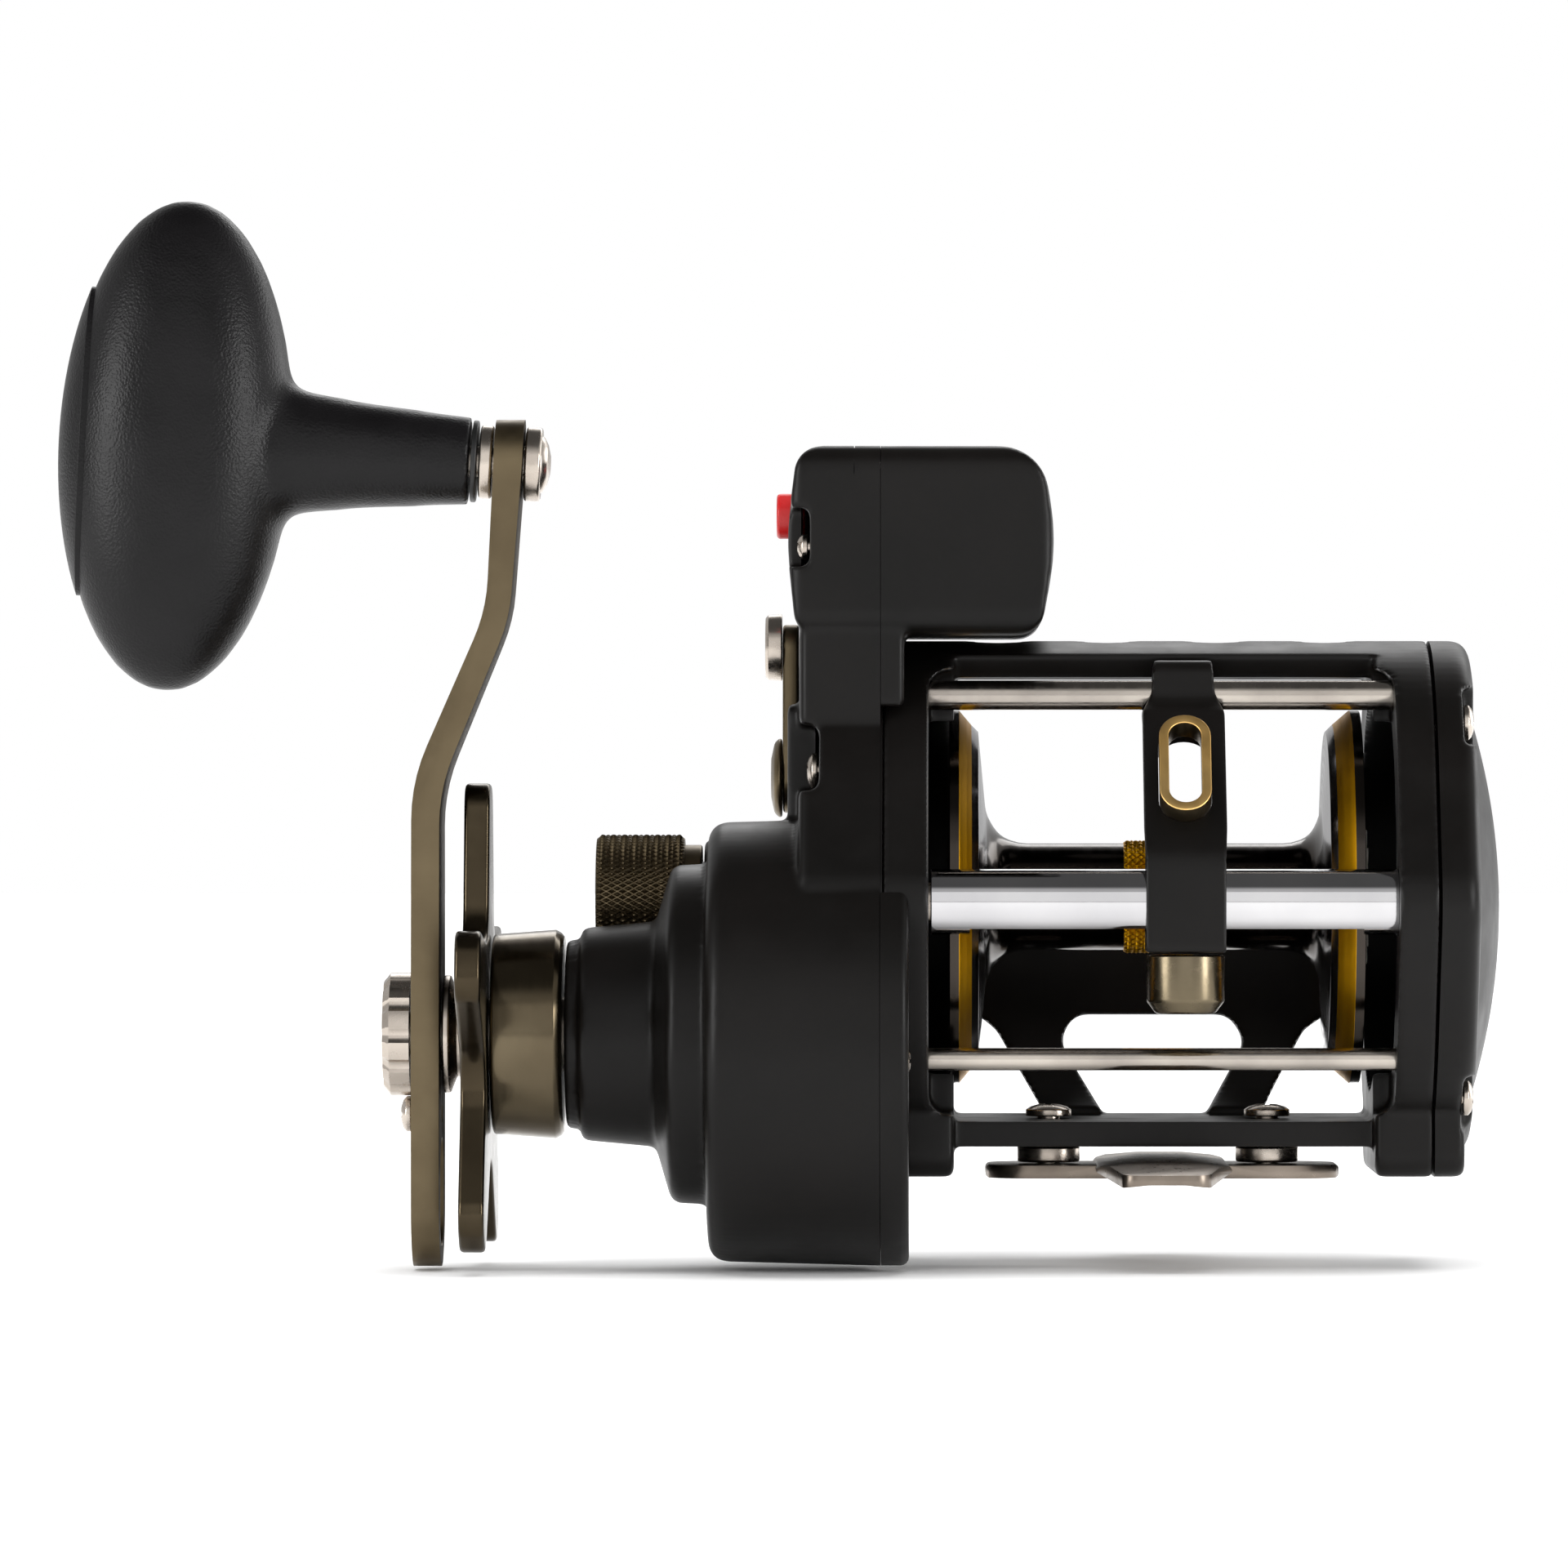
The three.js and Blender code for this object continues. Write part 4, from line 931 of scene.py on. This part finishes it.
def make_frame():
    def ring(x0, x1, face, beyond):
        """An end ring, its inner lip cut back at the front from one face."""
        edges = (0.3, 0.9) if face < 0 else (0.9, 0.3)
        made = add(
            slab(ring_outline(), x0, x1, edges),
            slab(pad_outline(), x0, x1, edges),
        )
        corners = [(face, 9, 2.5), (beyond, 9), (beyond, 66.5), (face, 66.5, 2.5)]
        recess = slab(filleted(corners), -60, -11, axis="y")
        return cut(made, rod(x0 - 1, x1 + 1, RING_BORE, SPOOL, steps=160), recess)

    def sector(start, end):
        outer = arc(*SPOOL, RING_RADIUS, start, end, round((end - start) / 3))
        inner = arc(*SPOOL, RING_RADIUS - 3.3, end, start, round((end - start) / 3))
        return slab(outer + inner, LIP_LEFT - 1, LIP_RIGHT + 1)

    made = add(
        ring(RING_LEFT, LIP_LEFT, RING_LEFT + 5.8, LIP_LEFT + 5),
        ring(LIP_RIGHT, RING_RIGHT, RING_RIGHT - 5, LIP_RIGHT - 5),
        sector(70, 110),
        sector(-68, -2),
        block(LIP_LEFT - 1, LIP_RIGHT + 1, -14, 14, 4.7, 8),
    )
    middle = [(-7.4, 8.2), (6.3, 8.2), (11.8, 17.4, 3), (9.6, 21, 3), (-11.2, 21, 3),
              (-13, 17.4, 3)]
    left = [(-15.2, 8.2), (-21.5, 19, 3), (-24, 21, 3), (LIP_LEFT, 21), (LIP_LEFT, 8.2)]
    right = [(13.4, 8.2), (LIP_RIGHT, 8.2), (LIP_RIGHT, 21), (22.6, 21, 3), (19.6, 19, 3)]
    windows = [slab(filleted(shape), 8, 40, axis="y") for shape in (middle, left, right)]
    holes = [slab(circle(x, 0, 3.65), 60, 75, axis="z") for x in (-21.4, -7.2, 7, 21.2)]
    cut(made, *windows, *holes)
    moulded(made, 0.4, 5)
    ends = [rod(-33, 33, radius_of(n) + GAP, axis_of(n))
            for n in ("top_guide_rod", "bottom_guide_rod")]
    cut(
        made, *foot_bolts(0), *ends,
        rod(-40, 33, 4.5, WORM),
        block(-60, RING_LEFT, -60, 60, -20, 120),
        block(RING_RIGHT, 60, -60, 60, -20, 120),
    )
    dress(made, "frame", "black_alloy", 30)


# ---- tail plate
TAIL_SCREWS = [
    f"tail_screw_{place}" for place in ("upper_front", "lower_front", "upper_rear", "lower_rear")
]
DISH = (0, 35.7)
DISH_RADIUS = 26


def make_tail_plate():
    outer = add(
        slab(ring_outline(), TAIL_X - 2, TAIL_RIM_X, (0, 2.2), steps=5),
        slab(pad_outline(), TAIL_X - 2, TAIL_RIM_X - 1.2, (0, 1)),
    )
    rise = DOME_X - TAIL_RIM_X
    sphere = (DISH_RADIUS**2 + rise**2) / (2 * rise)
    profile = [(TAIL_RIM_X - 1, 0), (TAIL_RIM_X - 1, DISH_RADIUS)]
    steps = 24
    for step in range(steps + 1):
        r = DISH_RADIUS * (1 - step / steps)
        profile.append((DOME_X - sphere + math.sqrt(sphere**2 - r**2), r))
    add(outer, lathe(profile, DISH, 160))
    bays = []
    for node in TAIL_SCREWS:
        y, z = axis_of(node)
        side = math.copysign(1, y)
        up = math.copysign(1, z - SPOOL[1])
        front, back = sorted((y - 2.9 * side, y + 20 * side))
        low, high = sorted((z - 2.9 * up, z + 4.5 * up))
        bays.append(slab(rectangle(front, back, low, high, 1.4), 38.3, 46))
    click = axis_of("click_button")
    slot = slab(rectangle(click[0] - 2.6, click[0] + 2.6, click[1] - 5.4, click[1] + 5.4, 2.5),
                36, 46)
    moulded(cut(outer, *bays, slot), 0.42, 6)
    hollow = cut(slab(ring_outline(-4.5), TAIL_X - 1, 37.8), rod(TAIL_X - 2, 39, 7.5, SPOOL))
    holes = [rod(30, 46, SCREW_HOLE, axis_of(n)) for n in TAIL_SCREWS]
    cut(outer, block(20, TAIL_X, -60, 60, -20, 120), hollow,
        rod(TAIL_X - 1, 39.4, BEARING_SEAT, SPOOL), *holes)
    dress(outer, "tail_plate", "black_alloy", 30)


# ---- line counter
def make_counter():
    left, right, top = SEAM_X - 3, SHELL_HIGH.x, SHELL_HIGH.z
    across = slab(filleted([
        (left, COUNTER_LOW), (right - 2, COUNTER_LOW, 3.4), (right + 0.2, COUNTER_LOW + 12, 30),
        (right - 1.9, top, 6.5), (left, top),
    ], step=6), -30, 30, axis="y")
    shell = common(slab(counter_outline(0, 3.2), left, right + 1, (0, 3.6), steps=5), across)
    tab = cut(block(left, SEAM_X + 3, -25, -12, 61.6, 73, 0.5), slab(ring_outline(GAP), left - 1, 0))
    moulded(add(shell, tab), 0.42, 14)
    cavity = slab(counter_outline(COUNTER_WALL, 1.6), left - 1, right - 2.4)
    first, last = span("counter_window")

    def pane(grow, radius):
        return rectangle(first.x - grow, last.x + grow, first.y - grow, last.y + grow, radius)

    step = slab(pane(GAP, 1.6), first.z - 0.2, 100, axis="z")
    opening = slab(pane(-1.2, 1), 90, 100, axis="z")
    cut(shell, block(-60, SEAM_X, -60, 60, 0, 120), cavity, step, opening)
    wheel = axis_of("number_wheel_tens")
    add(shell, rod(SHELL_LOW.x, right - 1.6, 1.2, wheel, 0.2, 32))
    dress(shell, "counter_shell", "black_alloy", 30)
    lens = slab(pane(0, 1.5), first.z, last.z, (0.05, 0.35), axis="z")
    dress(lens, "counter_window", "window_clear", 40)


def make_number_wheels():
    for place in ("units", "tens", "hundreds"):
        node = f"number_wheel_{place}"
        x0, x1 = along(node)
        radius = radius_of(node)
        centre = axis_of(node)
        dress(washer(x0, x1, radius, 1.5, centre, 0.25), node, "number_white")
        points, faces = [], []
        for number in range(10):
            numeral, outline = wrapped_digit(number, (x0 + x1) / 2, radius, centre)
            faces += [tuple(i + len(points) for i in face) for face in outline]
            points += numeral
        trim(mesh_object("digits", points, faces), f"digits_{place}", node, "number_black")


def wrapped_digit(number, x, radius, centre):
    """A numeral laid on a wheel, upright for someone behind the reel who looks down at it."""
    height = 3.1
    curve = bpy.data.curves.new("digit", "FONT")
    curve.body = str(number)
    curve.size = height * 1.4
    curve.align_x = "CENTER"
    curve.resolution_u = 4
    obj = bpy.data.objects.new("digit", curve)
    bpy.context.scene.collection.objects.link(obj)
    graph = bpy.context.evaluated_depsgraph_get()
    flat = bpy.data.meshes.new_from_object(obj.evaluated_get(graph))
    points = []
    lifted = radius + 0.05
    for vertex in flat.vertices:
        turn = math.radians(36 * number) + (vertex.co.y - height / 2) / radius
        points.append((
            x - vertex.co.x,
            centre[0] - lifted * math.sin(turn),
            centre[1] + lifted * math.cos(turn),
        ))
    bpy.data.objects.remove(obj)
    return points, [tuple(face.vertices) for face in flat.polygons]


# ---- spool
GOLD_RADIUS = 22.5


def make_spool():
    left, right = along("spool")
    rim = radius_of("spool")
    hub = 7
    spool = lathe([
        (left, SHAFT_HOLE), (left, 6.5, 0.3), (left + 1.4, 8, 0.5), (left + 0.9, 21.6, 0.3),
        (left - 0.9, 22.6, 0.1), (left - 0.9, rim, 0.1), (left + 0.4, rim, 0.1),
        (left + 2, GOLD_RADIUS), (left + 2.9, 21.6, 0.2), (left + 3.9, 10.8, 5),
        (left + 5.6, 8, 4), (left + 8.2, hub, 6), (right - 7.9, hub, 6), (right - 5.4, 8, 4),
        (right - 4.1, 10.8, 5), (right - 3.5, 21.6, 0.2), (right - 2.6, GOLD_RADIUS),
        (right - 0.4, rim, 0.1), (right + 0.9, rim, 0.1), (right + 0.9, 22.6, 0.1),
        (right - 0.9, 21.6, 0.3), (right - 1.4, 8, 0.5), (right, 6.5, 0.3), (right, SHAFT_HOLE),
    ], SPOOL, 180, loop=True)
    dress(spool, "spool", "spool_black", 28)

    def between(low_radius, high_radius, edge):
        """A test for faces in a band of radii, a distance in from both flanges."""
        return lambda p, n: (
            low_radius < from_axis(p, SPOOL) < high_radius and left + edge < p.x < right - edge
        )

    paint(spool, "gold", between(GOLD_RADIUS, rim + 1, 0.2))
    paint(spool, "spool_face", between(11.5, GOLD_RADIUS, 1.2))
    for ring in (19.2, 15.4):
        paint(spool, "gold", between(ring - 0.35, ring + 0.35, 1.2))
    band = knurled(-5, 4, hub + 0.4, 0.35, 1.1, SPOOL, 0.3)
    cut(band, rod(-9, 9, hub - 0.05, SPOOL))
    trim(band, "spool_knurl_band", "spool", "gold", 20)
    x0, x1 = along("spool_shaft")
    dress(rod(x0, x1, 2, SPOOL, 0.3), "spool_shaft", "steel")


# ---- level wind
def make_rods():
    for node in ("top_guide_rod", "bottom_guide_rod"):
        x0, x1 = along(node)
        dress(rod(x0, x1, radius_of(node), axis_of(node), 0.35), node, "rod_steel")
    x0, x1 = along("level_wind_tube")
    tube = washer(x0, x1, radius_of("level_wind_tube"), 3.3, WORM, 0.15)
    slot = slab(mirrored([(25.2, 30, 2), (25.2, WORM[1] - 1, 3)]), WORM[0] - 2.4, WORM[0] + 2.4,
                axis="y")
    dress(cut(tube, slot), "level_wind_tube", "chrome", 30)


def make_worm():
    x0, x1 = along("worm_shaft")
    neck = x0 + 8.4
    pitch, depth, width, step = 8.4, 0.9, 0.85, 0.22

    def radius_at(x, t):
        if x < neck:
            return 2
        ahead = (x - x0) / pitch
        grooves = [(ahead - t / math.tau) % 1, (ahead + t / math.tau) % 1]
        near = min(min(g, 1 - g) for g in grooves) * pitch
        inside = 1 if -29 < x < 28.4 else 0
        return 2.7 - depth * inside * max(0.0, min(1.0, (width - near) / 0.3))

    stations = [x0, neck - 0.02]
    stations += [neck + step * k for k in range(math.ceil((x1 - neck) / step))] + [x1]
    dress(round_grid(stations, radius_at, WORM, 72), "worm_shaft", "steel", 40)


def leaned(obj):
    """Carries a piece made about the eye's own frame to the guide's sloping face."""
    return moved(obj, offset(*EYE) @ Matrix.Rotation(-EYE_LEAN, 4, "X"))


def racetrack(grow):
    """The outline of the eye in its own frame, a little longer below than above."""
    half = 3.35
    radius = half - 0.01
    return rectangle(-half - grow, half + grow, -8.5 - grow, 6.6 + grow, radius + grow)


def make_line_guide():
    y = WORM[0]
    side = slab(filleted([
        (y - 5.4, 30.1, 0.8), (y + 4.85, 30.1, 0.8), (y + 4.85, 40.5, 2), (y + 2, 42.4, 2),
        (y - 0.2, 44, 2), (-18.6, 58.8, 2), (-12, 60.6, 2), (-12, 66.4, 2.4), (-14, 67.7, 2),
        (-17.4, 67.7, 2), (-18.6, 62.4, 2), (-20.8, 61.2, 1.5), (y - 5.4, 42.4, 5),
    ]), GUIDE_X - 8, GUIDE_X + 8)
    front = slab(mirrored([
        (5.1, 29), (5.1, 42, 5), (5.3, 46, 5), (5.3, 61, 2), (4.1, 63.4, 2), (3.7, 69),
    ], GUIDE_X), -60, 0, axis="y")
    guide = moulded(common(side, front), 0.3, 5)
    cut(
        guide,
        rod(-20, 20, 4.5, WORM),
        rod(-20, 20, radius_of("top_guide_rod") + GAP, axis_of("top_guide_rod")),
        leaned(slab(racetrack(0.05), -12, 12, axis="y")),
        slab(circle(GUIDE_X, y, post_at("guide_pawl")[1] + GAP), 28, 33, axis="z"),
    )
    dress(guide, "line_guide", "black_alloy", 30)


def make_guide_eye():
    """A flat brass rim and its darker bore, swept round the racetrack."""
    section = filleted([
        (-EYE_DEPTH, 0.02, 0.15), (-EYE_DEPTH, EYE_RIM, 0.12), (EYE_REAR, EYE_RIM, 0.12),
        (EYE_REAR, 0.02, 0.15),
    ], step=30)
    rings = [[(p.x, at.x, p.y) for p in racetrack(-at.y)] for at in section]
    eye = stacked(rings, loop=True)
    dress(eye, "guide_eye", "eye_gold", 40)
    paint(eye, "gunmetal", lambda p, n: p.y > 0.45 - EYE_DEPTH)
    leaned(eye)


def upright(obj, x, y):
    """Turns a piece made about X to stand on Z at (x, y)."""
    return moved(obj, offset(x, y, 0) @ Matrix.Rotation(-math.pi / 2, 4, "Y"))


def make_pawl():
    low, high = span("pawl_cap")
    cap = lathe([
        (low.z, 0), (low.z, 3.8, 0.8), (low.z + 1.6, 5, 0.8), (high.z, 5, 0.25), (high.z, 0),
    ], steps=96)
    dress(upright(cap, GUIDE_X, WORM[0]), "pawl_cap", "pawl_steel", 40)
    low, high = span("guide_pawl")
    pawl = upright(rod(low.z, high.z, 2, edge=0.3), GUIDE_X, WORM[0])
    dress(pawl, "guide_pawl", "brass", 40)


# ---- foot
def make_foot():
    low, high = span("reel_foot")
    section = mirrored([
        (2.4, 0.35, 6), (5.6, 0, 0.5), (9, 1.6, 0.5), (8.4, 2.3, 0.6), (3, 3, 8),
    ])
    plan = slab(mirrored([
        (5.4, low.y, 2.4), (9, -14, 6), (9, 14, 6), (5.4, high.y, 2.4),
    ]), -1, 4, axis="z")
    thin = slab(filleted([
        (low.y - 1, -1), (high.y + 1, -1), (high.y + 1, 1.5), (16, 3.2, 20), (-16, 3.2, 20),
        (low.y - 1, 1.5),
    ]), -30, 30)
    tongue = common(slab(section, low.y, high.y, axis="y"), plan, thin)
    wings = common(
        slab(rectangle(low.x, high.x, 0.4, 2.1, 0.6), -9, 9, axis="y"),
        slab(rectangle(low.x, high.x, -9, 9, 6), -1, 4, axis="z"),
    )
    foot = add(bevelled(tongue, 0.3, angle=50), bevelled(wings, 0.3, angle=50))
    dress(cut(foot, *foot_bolts(-2)), "reel_foot", "foot_steel", 35)


# ---- screws
def screw(length, head_radius, shank_radius, head):
    """A domed cross-head screw about X, with the top of its head at 0 and facing -X."""
    made = lathe([
        (0, 0), (0.06, head_radius * 0.45), (0.35, head_radius * 0.8), (0.75, head_radius, 0.3),
        (head, head_radius, 0.15), (head, shank_radius), (length - 0.4, shank_radius),
        (length, shank_radius - 0.3), (length, 0),
    ], steps=64)
    arm = head_radius * 0.62
    width = head_radius * 0.14
    depth = head * 0.75
    return cut(
        made,
        block(-1, depth, -arm, arm, -width, width),
        block(-1, depth, -width, width, -arm, arm),
    )


def make_screws():
    left_facing = ("side_screw", "counter_screw", "nut_lock_screw")
    for node in (*left_facing, *TAIL_SCREWS, "cover_screw"):
        x0, x1 = along(node)
        shank = 1.1 if node == "side_screw" else 0.9
        made = screw(x1 - x0, radius_of(node), shank, 1.4)
        tilt = Matrix.Rotation(math.radians(22 + 31 * len(node)), 4, "X")
        y, z = axis_of(node)
        if node in left_facing:
            moved(made, offset(x0, y, z) @ tilt)
        else:
            moved(made, offset(x1, y, z) @ Matrix.Rotation(math.pi, 4, "Z") @ tilt)
        dress(made, node, "steel", 30)
    for side in ("left", "right"):
        node = f"foot_screw_{side}"
        x, radius = post_at(node)
        low, high = span(node)
        made = screw(high.z - low.z, radius, 1.5, 1.6)
        moved(made, offset(x, 0, high.z) @ Matrix.Rotation(math.pi / 2, 4, "Y"))
        dress(made, node, "steel", 30)
        node = f"foot_spacer_{side}"
        low, high = span(node)
        spacer = washer(low.z, high.z, post_at(node)[1], BOLT_HOLE, edge=0.35)
        dress(upright(spacer, x, 0), node, "steel", 30)


# ---- lever, buttons and cast knob
def make_lever():
    x0, x1 = along("free_spool_lever")
    y, z = axis_of("lever_cap")
    top = axis_of("lever_button")[1]
    lever = slab(belt((y, z, 4.6), (y, top - 0.4, 3.4)), x0, x1, 0.4)
    dress(cut(lever, rod(-60, -40, BOLT_HOLE, (y, z))), "free_spool_lever", "gunmetal", 30)
    c0, c1 = along("lever_cap")
    cap = lathe([
        (c0, 0), (c0 + 0.05, 2.6), (c0 + 0.5, 4.7, 1.2), (c0 + 1.5, 5.5, 0.4), (c0 + 1.5, 1.5),
        (c1, 1.5), (c1, 0),
    ], (y, z))
    dress(cap, "lever_cap", "gunmetal", 40)
    b0, b1 = along("lever_button")
    button = lathe([
        (b0, 0), (b0, 3.9, 0.2), (b0 + 0.4, 4.3, 0.2), (b1 + 0.2, 4.4, 0.15), (b1 + 0.2, 0),
    ], (y, top))
    dress(button, "lever_button", "steel", 40)


def make_cast_knob():
    x0, x1 = along("cast_control_knob")
    knob = knurled(x0, x1 - 2.3, 8.15, 0.44, 0.8, SPOOL, 0.55, 1.8)
    neck = lathe([(x1 - 4, 0), (x1 - 4, 6.8), (x1, 6.8, 0.3), (x1, 0)], SPOOL)
    dish = lathe([(x0 - 1, 0), (x0 - 1, 6), (x0 + 0.5, 5.2, 0.4), (x0 + 0.7, 0)], SPOOL)
    cut(add(knob, neck), dish, rod(x1 - 6.9, x1 + 2, 4.9, SPOOL))
    dress(knob, "cast_control_knob", "gunmetal", 25)


def make_buttons():
    x0, x1 = along("reset_button")
    y, z = axis_of("reset_button")
    r = radius_of("reset_button")
    dress(lathe([(x0, 0), (x0, r, 0.5), (x1, r), (x1, 0)], (y, z)), "reset_button", "reset_red", 40)
    x0, x1 = along("click_button")
    y, z = axis_of("click_button")
    button = slab(rectangle(y - 2.2, y + 2.2, z - 2.8, z + 2.8, 2), x0, x1, (0.1, 0.7))
    ridges = [slab(rectangle(y - 3, y + 3, z + k - 0.25, z + k + 0.25, 0.2), x1 - 0.35, x1 + 1)
              for k in (-1.2, 0, 1.2)]
    dress(cut(button, *ridges), "click_button", "black_plastic", 40)


# ---- inner works stay as they are
def make_inner_works():
    inside = {
        "brass": ["main_gear", "pinion"],
        "nylon": ["spool_gear", "idler_gear", "worm_gear", "click_gear"],
        "steel": ["idler_pin", "spool_bearing_left", "spool_bearing_right", "one_way_bearing"],
        "black_plastic": ["drag_washer"],
    }
    for look, nodes in inside.items():
        for node in nodes:
            obj = frame["nodes"][node]
            obj.data.materials.clear()
            obj.data.materials.append(LOOKS[look])
            bevel = obj.modifiers.new("edges", "BEVEL")
            bevel.width = 0.08 * MM
            bevel.segments = 1


# ---- studio
BACKDROP = 1.0
WALL_LIGHT = 0.62
CEILING_LIGHT = 0.1
WHITE = (1, 1, 1, 1)
WALL_TOP = math.sin(math.radians(49))
FLOOR_HALF = 6000


def area_light(name, place, size, power, aim):
    data = bpy.data.lights.new(name, "AREA")
    data.shape = "RECTANGLE"
    data.size, data.size_y = size
    data.energy = power
    light = bpy.data.objects.new(name, data)
    light.location = place
    light.rotation_euler = (Vector(aim) - Vector(place)).to_track_quat("-Z", "Y").to_euler()
    light.visible_camera = False
    bpy.context.scene.collection.objects.link(light)


def make_room(scene):
    """A white backdrop behind the object; what it mirrors is paler below than overhead."""
    world = bpy.data.worlds.new("studio")
    world.use_nodes = True
    scene.world = world
    tree = world.node_tree
    backdrop = tree.nodes["Background"]
    backdrop.inputs["Strength"].default_value = BACKDROP
    backdrop.inputs["Color"].default_value = WHITE
    way = add_node(tree, "ShaderNodeTexCoord")
    parts = add_node(tree, "ShaderNodeSeparateXYZ", Vector=way.outputs["Generated"])
    height = add_node(
        tree, "ShaderNodeMapRange", Value=parts.outputs["Z"],
        From_Min=WALL_TOP - 0.08, From_Max=WALL_TOP + 0.08, To_Min=WALL_LIGHT, To_Max=CEILING_LIGHT,
    )
    height.interpolation_type = "SMOOTHSTEP"
    room = add_node(tree, "ShaderNodeBackground", Strength=height.outputs["Result"], Color=WHITE)
    path = add_node(tree, "ShaderNodeLightPath")
    mix = add_node(tree, "ShaderNodeMixShader", Fac=path.outputs["Is Camera Ray"])
    tree.links.new(room.outputs[0], mix.inputs[1])
    tree.links.new(backdrop.outputs[0], mix.inputs[2])
    tree.links.new(mix.outputs[0], tree.nodes["World Output"].inputs["Surface"])


def make_studio():
    scene = bpy.context.scene
    scene.view_settings.view_transform = "Standard"
    make_room(scene)
    target = (-0.045, 0, 0.045)
    area_light("left_softbox", (-1.0, -0.5, 0.15), (0.35, 0.8), 7, target)
    area_light("right_softbox", (0.95, -0.6, 0.15), (0.3, 0.8), 8, target)
    area_light("front_softbox", (-0.05, -2.2, 0.75), (1.8, 1.4), 4.5, target)
    area_light("rear_softbox", (0.2, 1.0, 0.7), (1.0, 0.4), 3, target)
    area_light("rear_right_softbox", (1.0, 0.7, 0.2), (0.8, 0.8), 5, target)
    sun = bpy.data.objects.new("sky", bpy.data.lights.new("sky", "SUN"))
    sun.data.energy = 3.0
    sun.data.angle = math.radians(60)
    sun.visible_glossy = False
    scene.collection.objects.link(sun)
    top = cad_low.z / MM - 0.5
    floor = block(-FLOOR_HALF, FLOOR_HALF, -FLOOR_HALF, FLOOR_HALF, top - 10, top)
    floor.name = "floor"
    paper = Recipe("paper")
    paper.colours(paper.noise(8, 4), (250, 250, 250), (253, 253, 253))
    paper.roughness(paper.noise(30, 3), 0.8, 0.9)
    paper.shader.inputs["Specular IOR Level"].default_value = 0.1
    floor.data.materials.append(paper.material)


def make_camera():
    """A long lens that looks along +Y at the height of the level wind."""
    data = bpy.data.cameras.new("camera")
    data.sensor_width = 36
    data.lens = 219.4
    data.shift_x = -0.099
    data.shift_y = 0.0208
    data.clip_end = 50
    camera = bpy.data.objects.new("camera", data)
    camera.location = (-0.0291, -1.252, 0.0475)
    camera.rotation_euler = (math.pi / 2, 0, 0)
    bpy.context.scene.collection.objects.link(camera)
    bpy.context.scene.camera = camera


make_camera()
make_studio()
make_knob()
make_crank_arm()
make_arm_nut()
make_star()
make_crank_shaft()
make_side_housing()
make_inner_plate()
make_frame()
make_tail_plate()
make_counter()
make_number_wheels()
make_spool()
make_rods()
make_worm()
make_line_guide()
make_guide_eye()
make_pawl()
make_foot()
make_screws()
make_lever()
make_cast_knob()
make_buttons()
make_inner_works()
